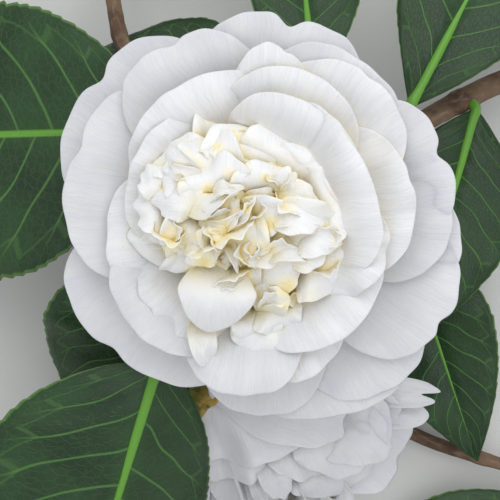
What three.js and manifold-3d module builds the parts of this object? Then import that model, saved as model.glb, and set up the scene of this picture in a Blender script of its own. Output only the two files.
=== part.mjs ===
// Cut flowering camellia branch, laid down: a large double bloom, a second bloom beside and below it, twelve
// leaves and the four woody limbs that carry them. Millimetres, +Z up, the surface it lies on at z = 0.
import * as THREE from 'three';
import { mergeVertices } from 'three/addons/utils/BufferGeometryUtils.js';
import Module from 'manifold-3d';

const wasm = await Module();
wasm.setup();

// Driving dimensions
const GAP = 0.3;                 // clear space between touching solids
const PETAL_THICKNESS = 0.9;
const LEAF_THICKNESS = 1.15;
const SCALE_THICKNESS = 0.8;
const BLOOM_TOLERANCE = 0.5;     // how far a fused solid's faces may move where that saves some of them
const FINE_TOLERANCE = 0.12;
const SAME_PLACE = 1e-3;         // corners closer than this share a place
const DRAW_IN = 0.01;            // how far such corners are drawn into their solid, so that they part
const KNEE = 3;                  // height over which a piece that meets the surface flattens on to it
const ORIGIN_SHIFT = [-18.2, -21.8, -0.37];  // brings the middle of the branch's box to the origin

const CALYX_DEPTH = 4.3;         // from the foot of a bloom back to the end of its twig
const NECK = 4;                  // straight stretch of the twig behind the calyx
const DOME_HEIGHT = 42;          // of the front bloom, from its foot
const DOME_RADIUS = 54;
const FRONT_RIM = 2;             // how far the wide petals' tips stand above that dome

const FRONT_BLOOM = { foot: [4.2, 9.2, 62], axis: [-0.125, -0.094, 0.988] };
const SECOND_BLOOM = { foot: [-11.6, -36.2, 37.5], axis: [0.87, -0.4, -0.27] };

const COLOURS = { petal: 0xe4e4e8, leaf: 0x2f5b35, bark: 0x6a4a33, scale: 0x8a7a3c };

// Wide petals of the front bloom: azimuth, reach, width, extra lift, notch, breadth of the end
const FRONT_GUARDS = [
  [91, 44.5, 38, -1.0, 0.02, 0.06],
  [70, 44, 38, 0.6, 0.02, 0.06],
  [27, 43, 38, 0.0, 0.03, 0.08],
  [6, 43.5, 34, -1.4, 0, 0.06],
  [-12, 45, 34, -2.6, 0, 0.06],
  [-30, 46.5, 40, 1.2, 0.035, 0.08],
  [-49, 49, 40, -1.5, 0, 0.08],
  [-68, 50, 40, -2.5, 0, 0.08],
  [-93, 45.5, 34, -4.5, 0, 0.05],
  [-101, 40.5, 34, 1.0, 0, 0.05],
  [-144, 48.5, 50, -1.5, 0.05, 0.13],
  [-133, 40.5, 34, 0.5, 0, 0.05],
  [165, 45.5, 50, 1.4, 0.05, 0.10],
  [141, 49.5, 44, -1.5, 0.05, 0.12],
  [117, 44.5, 48, 2.4, 0.05, 0.08],
];

// Inner petals: azimuth, reach, width, tip height
const FRONT_INNER = [
  [88, 37.5, 30, 25],
  [64, 38, 34, 22.5],
  [38, 37.5, 32, 23],
  [7, 35, 36, 25],
  [205, 34, 40, 22],
  [222, 34.5, 26, 23.5],
  [-77, 38.5, 32, 20.5],
  [-52, 34, 38, 25],
  [-20, 31, 28, 28],
  [122, 33, 38, 26],
  [152, 29, 34, 27],
  [62, 27, 32, 32],
  [20, 25, 38, 33],
];

// Curled petals of the middle: foot x, foot y, azimuth, reach, width, tip height, turn
const FRONT_CURLS = [
  [-3, -4, 247, 25, 23, 28, 8],
  [-4, 4, 160, 24, 15, 32, 25],
  [-2, 6, 135, 22, 20, 32, 15],
  [0, 8, 100, 19, 22, 34, -18],
  [4, 8, 70, 16, 22, 35.5, 16],
  [6, 4, 40, 15, 22, 36, -24],
  [8, 0, 5, 16, 22, 35, 28],
  [8, -4, -25, 17, 20, 33.5, -18],
  [4, -7, -55, 17, 22, 32, 30],
  [-5, -3, 225, 13, 15, 34, 42],
  [-5, 7, 125, 10, 15, 37, 36],
  [-2, 3, 60, 8, 16, 39, -46],
  [1, 0, 330, 8, 15, 39, 48],
];

const SECOND_GUARDS = [
  [38, 33, 46, 0, 0.07, 0.12],
  [-8, 40, 40, -1, 0.03, 0.08],
  [80, 36, 40, -2, 0.03, 0.08],
  [122, 38, 40, 0, 0.03, 0.08],
  [162, 40, 40, -1.5, 0.03, 0.08],
  [202, 40, 38, 0.5, 0.03, 0.08],
  [242, 40, 40, -1, 0.03, 0.08],
  [282, 41, 40, 0.5, 0.03, 0.08],
  [320, 42, 40, -0.5, 0.04, 0.08],
];

// Limbs: radius at the start and the end, and the points that the middle line passes
const LIMBS = {
  stem_main: {
    radii: [3.3, 2.0],
    points: [[99.2, 55.9, 3.6], [63.2, 42.1, 17], [42.2, 31.3, 31], [22.3, 19.9, 44], [11.6, 13.2, 50.5]],
    bloom: FRONT_BLOOM,
  },
  twig_upper: {
    radii: [2.2, 1.7],
    parent: 'stem_main',
    points: [
      [22.3, 20, 44.2], [17.4, 25.6, 48], [4.2, 29.6, 51], [-15.8, 35.3, 49], [-28.4, 45.9, 40],
      [-33, 59.4, 28], [-35.4, 81, 14],
    ],
  },
  twig_lower: {
    radii: [2.1, 1.7],
    parent: 'stem_main',
    points: [
      [15, 15.6, 48.6], [9.5, 5.8, 49.5], [-2.3, -2.8, 49.5], [-13, -9.7, 48.5], [-20, -17.5, 46.5],
      [-23.5, -26.5, 43],
    ],
    bloom: SECOND_BLOOM,
  },
  twig_right: {
    radii: [2.2, 1.5],
    parent: 'stem_main',
    points: [
      [38.5, 29, 33.5], [33.5, 19, 20.5], [31, 2.5, 12], [30.9, -17.7, 6], [34.3, -35.6, 3.4], [39.9, -45.7, 4],
      [58.1, -52.5, 7], [78.3, -58.1, 7],
    ],
  },
};

// Leaves: foot, heading, length, width, pitch at the foot and the tip, fold, roll, blunt foot, widest place,
// side-to-side skew, the limb that carries the leaf and the place on it, from 0 to 1
const LEAVES = {
  leaf_left: {
    foot: [-10.9, 27.3, 58], heading: 180, length: 112, width: 66, pitch: [-10, -54],
    fold: 5, roll: 2, blunt: 1.15, widest: 0.46, skew: -0.04, limb: 'twig_upper', place: 0.27,
  },
  leaf_lower_left: {
    foot: [-21.1, -26.6, 55], heading: 253, length: 92, width: 58, pitch: [-6, -46],
    fold: -11, roll: -22, blunt: 0.55, widest: 0.38, skew: 0.1, sweep: -3, limb: 'twig_lower', place: 0.76,
  },
  leaf_left_under: {
    foot: [-20.5, -1, 49], heading: 250, length: 62, width: 40, pitch: [-30, -46],
    fold: 8, blunt: 0.8, skew: 0.12, limb: 'twig_lower', place: 0.55,
  },
  leaf_top_left: {
    foot: [3.5, 40.2, 46], heading: 176, length: 46, width: 31, pitch: [-4, -14],
    fold: 8, roll: 8, limb: 'twig_upper', place: 0.16,
  },
  leaf_top: {
    foot: [15, 37.5, 48], heading: 95, length: 67, width: 28, pitch: [-8, -42],
    fold: 10, limb: 'twig_upper', place: 0.1,
  },
  leaf_upper_right: {
    foot: [37.7, 33.4, 40], heading: 62, length: 84, width: 38, pitch: [2, -44],
    fold: 10, roll: -6, blunt: 1, widest: 0.45, limb: 'stem_main', place: 0.58,
  },
  leaf_right: {
    foot: [55, 34.5, 26], heading: 255, length: 60, width: 35, pitch: [4, -10],
    fold: 10, roll: -8, limb: 'stem_main', place: 0.45,
  },
  leaf_lower_right: {
    foot: [37.3, 3.7, 19], heading: -71, length: 60, width: 31, pitch: [0, -12],
    fold: 10, roll: 12, limb: 'twig_right', place: 0.3,
  },
  leaf_corner: {
    foot: [75, -63, 9], heading: 214, length: 66, width: 36, pitch: [4, -12],
    fold: 10, roll: 4, limb: 'twig_right', place: 0.93,
  },
  leaf_upper_twig_end: {
    foot: [-36.4, 89, 12], heading: 100, length: 62, width: 34, pitch: [12, -35],
    fold: 10, limb: 'twig_upper', place: 1,
  },
  leaf_upper_twig_side: {
    foot: [-29, 77, 19], heading: 48, length: 58, width: 32, pitch: [8, -36],
    fold: 10, limb: 'twig_upper', place: 0.86,
  },
  leaf_right_twig_end: {
    foot: [86, -60, 7.5], heading: -22, length: 60, width: 32, pitch: [14, -28],
    fold: 10, limb: 'twig_right', place: 1,
  },
};

const radians = THREE.MathUtils.degToRad;
const smooth = (x) => THREE.MathUtils.smoothstep(x, 0, 1);
const gauss = (x, wide) => Math.exp(-((x / wide) ** 2));

// A height, brought smoothly to the floor where it would come near or below it
function settle(height, floor) {
  return height > floor + KNEE ? height : floor + KNEE * Math.exp((height - floor - KNEE) / KNEE);
}

// Solids from closed geometries, and back
function toSolid(geometry) {
  const bare = geometry.clone();
  bare.deleteAttribute('normal');
  bare.deleteAttribute('uv');
  const closed = mergeVertices(bare, SAME_PLACE / 10);
  const vertProperties = new Float32Array(closed.attributes.position.array);
  const triVerts = new Uint32Array(closed.index.array);
  return new wasm.Manifold(new wasm.Mesh({ numProp: 3, vertProperties, triVerts }));
}

function toGeometry(solid) {
  const mesh = solid.getMesh();
  const geometry = new THREE.BufferGeometry();
  geometry.setAttribute('position', new THREE.BufferAttribute(new Float32Array(mesh.vertProperties), 3));
  geometry.setIndex(new THREE.BufferAttribute(new Uint32Array(mesh.triVerts), 1));
  geometry.computeVertexNormals();
  return geometry;
}

function largestBody(solid) {
  return solid.decompose().reduce((best, body) => (body.volume() > best.volume() ? body : best));
}

// One closed body from several, with the faces that matter less than the tolerance merged
function fuse(solids, tolerance) {
  return largestBody(largestBody(wasm.Manifold.union(solids)).simplify(tolerance));
}

// Corners that share a place without being joined are drawn into the solid, each along its own normal
function partCorners(geometry) {
  const { position, normal } = geometry.attributes;
  const places = new Map();
  for (let i = 0; i < position.count; i += 1) {
    const place = [position.getX(i), position.getY(i), position.getZ(i)].map((x) => Math.round(x / SAME_PLACE));
    const key = place.join();
    places.set(key, [...(places.get(key) ?? []), i]);
  }
  const shared = [...places.values()].filter((corners) => corners.length > 1).flat();
  for (const i of shared) {
    const inward = new THREE.Vector3().fromBufferAttribute(normal, i).multiplyScalar(-DRAW_IN);
    const corner = new THREE.Vector3().fromBufferAttribute(position, i).add(inward);
    position.setXYZ(i, corner.x, corner.y, corner.z);
  }
  return geometry;
}

// A blade: a sheet given by surface(u, v), u and v from -1 to 1, thickened evenly to both sides
function blade(surface, across, along, thickness) {
  const geometry = new THREE.BoxGeometry(2, 2, 1, across, along, 1);
  const position = geometry.attributes.position;
  const step = 0.01;
  for (let i = 0; i < position.count; i += 1) {
    const [u, v, side] = [position.getX(i), position.getY(i), position.getZ(i)];
    const point = surface(u, v);
    const low = Math.max(-1, u - step);
    const near = Math.max(-1, v - step);
    const crossways = surface(Math.min(1, u + step), v).sub(surface(low, v));
    const lengthways = surface(u, Math.min(1, v + step)).sub(surface(u, near));
    const normal = crossways.cross(lengthways).normalize();
    point.addScaledVector(normal, side * thickness);
    position.setXYZ(i, point.x, point.y, point.z);
  }
  return toSolid(geometry);
}

// A limb: rings about a smooth line, closed at both ends, its radius given by radiusAt(t), each end moved out
// by the overrun
function limbSolid(curve, radiusAt, sides, steps, overrun = 0) {
  const frames = curve.computeFrenetFrames(steps, false);
  const positions = [];
  const index = [];
  const stop = { 0: -overrun, [steps]: overrun };
  const centreAt = (i) => curve.getPointAt(i / steps).addScaledVector(frames.tangents[i], stop[i] ?? 0);
  for (let i = 0; i <= steps; i += 1) {
    const centre = centreAt(i);
    const radius = radiusAt(i / steps);
    for (let j = 0; j < sides; j += 1) {
      const angle = (2 * Math.PI * j) / sides;
      const point = centre.clone()
        .addScaledVector(frames.normals[i], radius * Math.cos(angle))
        .addScaledVector(frames.binormals[i], radius * Math.sin(angle));
      positions.push(point.x, point.y, point.z);
    }
  }
  for (let i = 0; i < steps; i += 1) {
    for (let j = 0; j < sides; j += 1) {
      const a = i * sides + j;
      const b = i * sides + ((j + 1) % sides);
      index.push(a, b, a + sides, b, b + sides, a + sides);
    }
  }
  const first = positions.length / 3;
  const start = centreAt(0);
  const end = centreAt(steps);
  positions.push(start.x, start.y, start.z, end.x, end.y, end.z);
  const last = steps * sides;
  for (let j = 0; j < sides; j += 1) {
    const next = (j + 1) % sides;
    index.push(first, next, j, first + 1, last + j, last + next);
  }
  const geometry = new THREE.BufferGeometry();
  geometry.setAttribute('position', new THREE.BufferAttribute(new Float32Array(positions), 3));
  geometry.setIndex(index);
  return toSolid(geometry);
}

// A petal's sheet in its bloom's frame: a line from the foot out to the tip, cupped across, its end rolled back
const PLAIN_PETAL = {
  footRadius: 2, bow: 0.35, over: 1.5, claw: 0.3, notch: 0.03, broad: 0, cupFoot: 0.02, cupTip: -0.008,
  side: 0, roll: 1, turn: 0, shift: [0, 0],
};
const PETAL_LINE = { rise: 0.3, crest: 0.72 };         // shares of the reach at the line's inner corners
const PETAL_ZONES = { full: 0.62, broad: [0.2, 0.5], notch: [0.6, 0.4], end: [0.35, 0.5], rim: [0.72, 0.28] };
const NOTCH_WIDTH = 0.16;
const ROLL_POWER = 1.5;
const STRAIGHT = 1e-5;                                 // a bend less than this counts as none

// 0 before a zone, 1 after it, and smooth between
const through = ([from, over], x) => smooth((x - from) / over);

function petalSheet(form) {
  const petal = { ...PLAIN_PETAL, ...form };
  const line = new THREE.CubicBezierCurve(
    new THREE.Vector2(petal.footRadius, petal.foot),
    new THREE.Vector2(petal.reach * PETAL_LINE.rise, petal.foot + (petal.tip - petal.foot) * petal.bow),
    new THREE.Vector2(petal.reach * PETAL_LINE.crest, petal.tip + petal.over),
    new THREE.Vector2(petal.reach, petal.tip),
  );
  const azimuth = radians(petal.azimuth);
  const turn = radians(petal.turn);
  return (u, v) => {
    const x = u * Math.sqrt(1 - (v * v) / 2);
    const y = v * Math.sqrt(1 - (u * u) / 2);
    const along = (y + 1) / 2;
    const edge = Math.hypot(x, y);
    const narrow = petal.claw + (1 - petal.claw) * smooth(along / PETAL_ZONES.full);
    const broad = petal.broad * x * x * through(PETAL_ZONES.broad, along);
    const notch = petal.notch * gauss(x, NOTCH_WIDTH) * through(PETAL_ZONES.notch, along);
    const t = along + broad - notch;
    const offset = x * (petal.width / 2) * narrow;
    const centre = line.getPoint(t);
    const slope = line.getTangent(Math.min(Math.max(t, 0), 1));
    const bend = petal.cupFoot + (petal.cupTip - petal.cupFoot) * smooth(along);
    const across = Math.abs(bend) < STRAIGHT ? offset : Math.sin(offset * bend) / bend;
    const cup = Math.abs(bend) < STRAIGHT ? 0 : (1 - Math.cos(offset * bend)) / bend;
    const roll = petal.roll * through(PETAL_ZONES.rim, edge) ** ROLL_POWER * through(PETAL_ZONES.end, along);
    const lift = cup + petal.side * offset - roll;
    const out = lift * Math.cos(turn) + across * Math.sin(turn);
    const radius = centre.x - slope.y * out;
    const height = centre.y + slope.x * out;
    const sideways = across * Math.cos(turn) - lift * Math.sin(turn);
    return new THREE.Vector3(
      petal.shift[0] + radius * Math.cos(azimuth) - sideways * Math.sin(azimuth),
      petal.shift[1] + radius * Math.sin(azimuth) + sideways * Math.cos(azimuth),
      height,
    );
  };
}

// A bloom's frame: its foot, its axis as +Z and the world's +X as near as may be as +X
function bloomFrame(bloom) {
  const z = new THREE.Vector3(...bloom.axis).normalize();
  const x = new THREE.Vector3(1, 0, 0).addScaledVector(z, -z.x).normalize();
  const y = z.clone().cross(x);
  return new THREE.Matrix4().makeBasis(x, y, z).setPosition(...bloom.foot);
}

// Bloom: petals fused on a receptacle
const FRONT_HEART = [
  [0, 0.95], [4.5, 0.95], [6.5, 6], [14, 11], [25, 17], [26, 21], [20, 26], [12, 30], [0, 31],
];
const SECOND_HEART = [[0, 1.3], [4, 1.3], [6.5, 6], [14, 12], [21, 16], [20, 22], [12, 29], [0, 31]];
const HEART_SIDES = 12;
const GUARD = { grid: [4, 5], side: 0.03, foot: 3, footRise: 0.25 };
const INNER_GRID = [3, 4];
const CURL_GRID = [2, 3];
const GOLDEN_ANGLE = 137.5;

function domeHeight(radius) {
  return DOME_HEIGHT * (1 - (radius / DOME_RADIUS) ** 2);
}

function lathe(profile, sides) {
  const outline = profile.map(([radius, height]) => new THREE.Vector2(radius, height));
  return toSolid(new THREE.LatheGeometry(outline, sides).rotateX(Math.PI / 2));
}

function placed(solid, frame) {
  return toSolid(toGeometry(solid).applyMatrix4(frame));
}

function bloomSolid(bloom, heart, petals, settleAt) {
  const frame = bloomFrame(bloom);
  const solids = petals.map(({ form, grid }, order) => {
    const sheet = petalSheet(form);
    const inWorld = (u, v) => settleAt(sheet(u, v).applyMatrix4(frame), order);
    return blade(inWorld, grid[0], grid[1], PETAL_THICKNESS);
  });
  return fuse([placed(lathe(heart, HEART_SIDES), frame), ...solids], BLOOM_TOLERANCE);
}

function guardPetal([azimuth, reach, width, lift, notch, broad], form) {
  const foot = GUARD.foot + GUARD.footRise * lift;
  return { grid: GUARD.grid, form: { azimuth, reach, width, notch, broad, foot, side: GUARD.side, ...form } };
}

function frontPetals() {
  const guards = FRONT_GUARDS.map((row) => {
    const [, reach, , lift] = row;
    return guardPetal(row, { tip: domeHeight(reach) + FRONT_RIM + lift, roll: 1.2 });
  });
  const inner = FRONT_INNER.map(([azimuth, reach, width, tip], order) => ({
    grid: INNER_GRID,
    form: {
      azimuth, reach, width, tip, foot: 7 + 0.3 * order, over: 3.5, bow: 0.2, cupFoot: 0.03, cupTip: -0.012,
    },
  }));
  const curls = FRONT_CURLS.map(([x, y, azimuth, reach, width, tip, turn], order) => ({
    grid: CURL_GRID,
    form: {
      shift: [x, y], azimuth, reach, width, tip, turn, foot: 10, footRadius: 1, over: 2 - 0.5 * (order % 4),
      bow: 0.55, claw: 0.4, cupFoot: 0.05, cupTip: -0.03 + 0.02 * (order % 4),
    },
  }));
  return [...guards, ...inner, ...curls];
}

// The second bloom's middle, hidden or out of focus: even rings, varied by sines of each petal's order
const SECOND_RIM = 19;
const SECOND_INNER = { count: 8, start: 20, reach: 35, width: 33, tip: 31, foot: 6 };
const SECOND_CURLS = { count: 9, spread: 26, width: 19, crown: 50, fall: 12, foot: 8, turn: 35 };

function secondPetals() {
  const guards = SECOND_GUARDS.map((row) => {
    const [, , , lift] = row;
    return guardPetal(row, { tip: SECOND_RIM + lift, over: 3, roll: 1.4 });
  });
  const inner = Array.from({ length: SECOND_INNER.count }, (_, order) => ({
    grid: INNER_GRID,
    form: {
      azimuth: SECOND_INNER.start + (360 / SECOND_INNER.count) * order + 8 * Math.sin(order * 2.3),
      reach: SECOND_INNER.reach + 2 * Math.sin(order * 1.7),
      width: SECOND_INNER.width,
      tip: SECOND_INNER.tip + 2 * Math.sin(order * 3.1),
      foot: SECOND_INNER.foot,
      over: 4, bow: 0.25, roll: 1.5, broad: 0.06,
    },
  }));
  const curls = Array.from({ length: SECOND_CURLS.count }, (_, order) => {
    const share = (order + 0.5) / SECOND_CURLS.count;
    return {
      grid: CURL_GRID,
      form: {
        azimuth: order * GOLDEN_ANGLE,
        reach: SECOND_CURLS.spread * Math.sqrt(share),
        width: SECOND_CURLS.width,
        tip: SECOND_CURLS.crown - SECOND_CURLS.fall * share,
        foot: SECOND_CURLS.foot,
        footRadius: 1.5 + 2 * share,
        turn: SECOND_CURLS.turn * Math.sin(order * 2.9),
        over: 1.5, bow: 0.5, cupFoot: 0.05, cupTip: -0.01,
      },
    };
  });
  return [...guards, ...inner, ...curls];
}

// Calyx: overlapping scales on a short cone, which ends at the twig
const CALYX_SCALES = { count: 5, start: 50, reach: 9, width: 11, foot: -3, tip: 1 };
const CALYX_CORE = [[0, -CALYX_DEPTH], [2, -CALYX_DEPTH], [3.2, -1], [3, 0.5], [0, 0.5]];
const CALYX_SIDES = 8;

function calyxSolid(bloom, settleAt) {
  const frame = bloomFrame(bloom);
  const { count, start, reach, width, foot, tip } = CALYX_SCALES;
  const scales = Array.from({ length: count }, (_, order) => petalSheet({
    azimuth: start + (360 / count) * order,
    reach, width, foot, tip,
    footRadius: 0.8, bow: 0.12, over: 0, claw: 0.5, cupFoot: 0.06, cupTip: 0.03, notch: 0, roll: 0, side: 0.06,
  }));
  const solids = scales.map((sheet) => (
    blade((u, v) => settleAt(sheet(u, v).applyMatrix4(frame)), 2, 3, SCALE_THICKNESS)
  ));
  return fuse([placed(lathe(CALYX_CORE, CALYX_SIDES), frame), ...solids], FINE_TOLERANCE);
}

// Limbs
const LIMB_SIDES = 8;
const STEP_LENGTH = 8;

function bloomBack(bloom, distance) {
  const axis = new THREE.Vector3(...bloom.axis).normalize();
  return new THREE.Vector3(...bloom.foot).addScaledVector(axis, -distance);
}

function limbCurve({ points, bloom }) {
  const stops = points.map((point) => new THREE.Vector3(...point));
  if (bloom) stops.push(bloomBack(bloom, CALYX_DEPTH + NECK), bloomBack(bloom, CALYX_DEPTH + GAP));
  return new THREE.CatmullRomCurve3(stops, false, 'catmullrom', 0.5);
}

function limbAt({ curve, radii }, grown) {
  const radiusAt = (t) => radii[0] + (radii[1] - radii[0]) * t + grown;
  return limbSolid(curve, radiusAt, LIMB_SIDES, Math.round(curve.getLength() / STEP_LENGTH), grown);
}

const limbs = Object.fromEntries(Object.entries(LIMBS).map(([name, limb]) => {
  const shape = { ...limb, curve: limbCurve(limb) };
  return [name, { ...shape, solid: limbAt(shape, 0), shell: limbAt(shape, GAP) }];
}));

// Leaves: an arched midline, a rounded or pointed foot, the widest place and a drawn-out tip
const PLAIN_LEAF = { fold: 8, roll: 0, sweep: 0, skew: 0, blunt: 0.9, widest: 0.42 };
const LEAF_SAG = 0.12;           // of the half width, at the margin
const LEAF_END = { blunt: 2.1, taper: 0.2, foot: 0.03, tip: 0.015 };
const LEAF_GRID = [4, 6];
const STALK = { limbEnd: 1.3, leafEnd: 0.6, places: [0.02, 0.2, 0.45], sink: 0.35, sides: 5, steps: 5 };

function leafFrame(leaf, t) {
  const [first, last] = leaf.pitch.map(radians);
  const turn = last - first;
  const pitch = first + turn * t;
  const heading = radians(leaf.heading);
  const ahead = new THREE.Vector3(Math.cos(heading), Math.sin(heading), 0);
  const aside = new THREE.Vector3(-Math.sin(heading), Math.cos(heading), 0);
  const up = new THREE.Vector3(0, 0, 1);
  const point = new THREE.Vector3(...leaf.foot)
    .addScaledVector(ahead, (leaf.length * (Math.sin(pitch) - Math.sin(first))) / turn)
    .addScaledVector(up, (-leaf.length * (Math.cos(pitch) - Math.cos(first))) / turn)
    .addScaledVector(aside, (leaf.length * radians(leaf.sweep) * t * t) / 2);
  const normal = ahead.clone().multiplyScalar(-Math.sin(pitch)).addScaledVector(up, Math.cos(pitch));
  const roll = radians(leaf.roll);
  return {
    point,
    ahead,
    across: aside.clone().multiplyScalar(Math.cos(roll)).addScaledVector(normal, Math.sin(roll)),
    normal: aside.clone().multiplyScalar(-Math.sin(roll)).addScaledVector(normal, Math.cos(roll)),
  };
}

function leafHalfWidth(leaf, t) {
  const rise = Math.sin((Math.PI / 2) * Math.min(t / leaf.widest, 1)) ** leaf.blunt;
  const past = Math.max((t - leaf.widest) / (1 - leaf.widest), 0);
  const fall = (1 - past ** LEAF_END.blunt) * (1 - LEAF_END.taper * past) + LEAF_END.tip;
  return (leaf.width / 2) * (t < leaf.widest ? Math.max(rise, LEAF_END.foot) : fall);
}

function leafSheet(leaf) {
  return (u, v) => {
    const t = (v + 1) / 2;
    const half = leafHalfWidth(leaf, t) * (1 + leaf.skew * u);
    const frame = leafFrame(leaf, t);
    const offset = -u * half;
    const lift = Math.abs(offset) * Math.sin(radians(leaf.fold)) - LEAF_SAG * half * u * u;
    const point = frame.point
      .addScaledVector(frame.across, offset * Math.cos(radians(leaf.fold)))
      .addScaledVector(frame.normal, lift);
    point.z = settle(point.z, LEAF_THICKNESS / 2);
    return point;
  };
}

function stalkSolid(leaf) {
  const sheet = leafSheet(leaf);
  const onLeaf = STALK.places.map((t) => {
    const point = sheet(0, 2 * t - 1);
    point.z -= STALK.sink;
    return point;
  });
  const root = limbs[leaf.limb].curve.getPointAt(leaf.place);
  const curve = new THREE.CatmullRomCurve3([root, ...onLeaf], false, 'catmullrom', 0.5);
  const radiusAt = (t) => STALK.limbEnd + (STALK.leafEnd - STALK.limbEnd) * t;
  return limbSolid(curve, radiusAt, STALK.sides, STALK.steps);
}

function leafSolid(leaf) {
  const sheet = blade(leafSheet(leaf), ...LEAF_GRID, LEAF_THICKNESS);
  return largestBody(fuse([sheet, stalkSolid(leaf)], FINE_TOLERANCE).subtract(limbs[leaf.limb].shell));
}

const leaves = Object.fromEntries(
  Object.entries(LEAVES).map(([name, leaf]) => [name, { ...PLAIN_LEAF, ...leaf }]),
);

// The second bloom's petals lie on the surface, and slip under the lower left leaf where it covers them
const TUCK = { petal: 4.4, scale: 2.8, fade: 7, slope: 0.06 };

function tuckUnder(leaf, point, clear) {
  const [first, last] = leaf.pitch.map(radians);
  const ahead = leafFrame(leaf, 0).ahead;
  const distance = point.clone().sub(new THREE.Vector3(...leaf.foot)).dot(ahead);
  const sine = Math.sin(first) + (distance * (last - first)) / leaf.length;
  const pitch = Math.asin(THREE.MathUtils.clamp(sine, -1, 1));
  const t = THREE.MathUtils.clamp((pitch - first) / (last - first), 0, 1);
  const frame = leafFrame(leaf, t);
  const offset = point.clone().sub(frame.point);
  const across = Math.abs(offset.dot(frame.across));
  const allowed = across * (Math.sin(radians(leaf.fold)) - TUCK.slope) - clear;
  const excess = offset.dot(frame.normal) - allowed;
  const covered = smooth((leafHalfWidth(leaf, t) + TUCK.fade - across) / TUCK.fade);
  if (excess > 0) point.addScaledVector(frame.normal, -excess * covered);
  return point;
}

// The front bloom's lowest guard petals rise from its foot, then level out; the second bloom stays below them
const COVER = { height: -2, slope: 0.2, level: 3, edge: 52, fade: 6 };
const PETAL_STEP = 0.03;         // in height, from one petal that lies on the surface to the next
const frontFrame = bloomFrame(FRONT_BLOOM);
const frontInverse = frontFrame.clone().invert();

function keepBelowFront(point) {
  point.applyMatrix4(frontInverse);
  const radius = Math.hypot(point.x, point.y);
  const covered = smooth((COVER.edge + COVER.fade - radius) / COVER.fade);
  const excess = point.z - Math.min(COVER.height + COVER.slope * radius, COVER.level);
  if (excess > -KNEE) point.z -= covered * (excess + KNEE * Math.exp(-(excess + KNEE) / KNEE));
  return point.applyMatrix4(frontFrame);
}

function settleSecond(point, order) {
  tuckUnder(leaves.leaf_lower_left, point, TUCK.petal);
  keepBelowFront(point);
  point.z = settle(point.z, PETAL_THICKNESS / 2 + PETAL_STEP * order);
  return point;
}

// The branch
const branch = new THREE.Group();
branch.position.set(...ORIGIN_SHIFT);

function addNode(name, solid, colour, roughness, frame) {
  const geometry = partCorners(toGeometry(solid)).applyMatrix4(frame.clone().invert());
  const material = new THREE.MeshStandardMaterial({ color: colour, roughness, metalness: 0 });
  const mesh = new THREE.Mesh(geometry, material);
  mesh.name = name;
  mesh.applyMatrix4(frame);
  branch.add(mesh);
}

const at = (point) => new THREE.Matrix4().setPosition(...point);

for (const [name, limb] of Object.entries(limbs)) {
  const solid = limb.parent ? largestBody(limb.solid.subtract(limbs[limb.parent].shell)) : limb.solid;
  addNode(name, solid, COLOURS.bark, 0.8, at(limb.points[0]));
}
for (const [name, leaf] of Object.entries(leaves)) {
  addNode(name, leafSolid(leaf), COLOURS.leaf, 0.4, at(leaf.foot));
}

const free = (point) => point;
const settleScale = (point) => tuckUnder(leaves.leaf_lower_left, point, TUCK.scale);
const secondFrame = bloomFrame(SECOND_BLOOM);
const frontBloom = bloomSolid(FRONT_BLOOM, FRONT_HEART, frontPetals(), free);
const secondBloom = bloomSolid(SECOND_BLOOM, SECOND_HEART, secondPetals(), settleSecond);
addNode('calyx_front', calyxSolid(FRONT_BLOOM, free), COLOURS.scale, 0.6, frontFrame);
addNode('calyx_second', calyxSolid(SECOND_BLOOM, settleScale), COLOURS.scale, 0.6, secondFrame);
addNode('bloom_front', frontBloom, COLOURS.petal, 0.6, frontFrame);
addNode('bloom_second', secondBloom, COLOURS.petal, 0.6, secondFrame);

export default branch;
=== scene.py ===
# Cut flowering camellia branch, laid down: petals, leaves, calyx scales and bark over the plain solids
import math
import random

import bpy
import numpy as np
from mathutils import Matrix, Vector, noise
from mathutils.bvhtree import BVHTree


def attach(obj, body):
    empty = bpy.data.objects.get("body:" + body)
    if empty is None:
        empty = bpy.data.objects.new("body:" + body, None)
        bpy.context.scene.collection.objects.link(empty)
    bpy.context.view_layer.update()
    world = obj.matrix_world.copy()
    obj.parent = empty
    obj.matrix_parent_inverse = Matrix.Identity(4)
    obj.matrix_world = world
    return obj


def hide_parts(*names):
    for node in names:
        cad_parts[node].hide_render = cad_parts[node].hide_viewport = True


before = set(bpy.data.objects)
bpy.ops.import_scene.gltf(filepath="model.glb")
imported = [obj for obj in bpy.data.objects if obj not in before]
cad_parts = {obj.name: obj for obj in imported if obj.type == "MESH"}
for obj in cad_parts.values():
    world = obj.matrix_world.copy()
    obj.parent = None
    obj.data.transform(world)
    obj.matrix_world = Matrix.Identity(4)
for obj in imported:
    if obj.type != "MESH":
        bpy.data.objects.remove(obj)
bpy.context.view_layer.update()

# Sizes in millimetres, in the picture's frame: middle at x = y = 0, x to the right, y up, the floor at z = 0
MM = 0.001
SHIFT = np.array((-18.2, -21.8, -0.37))     # from the picture's frame to the part's
CAMERA_HEIGHT = 526
LENS = 147.9
PICTURE_MIDDLE = 250                        # in the picture's pixels, both to the right and down
PIXEL = 0.219                               # what a pixel measures PIXEL_DISTANCE away from the camera
PIXEL_DISTANCE = 450

PETAL_THICKNESS = 0.34
PETALOID_THICKNESS = 0.26
LEAF_THICKNESS = 0.55
SCALE_THICKNESS = 0.6
KNEE = 3                                    # height over which a piece that meets the floor flattens on to it
CALYX_DEPTH = 4.3
NECK = 4                                    # straight end of a limb behind its calyx
GAP = 0.3                                   # clear space between a limb's end and its calyx
KNOTS = (0.12, 0.3, 0.47, 0.66, 0.84)       # swellings where older leaves stood, as shares of a limb's length
KNOT_LENGTH = 2.2
SHARP_EDGE = math.radians(50)

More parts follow.
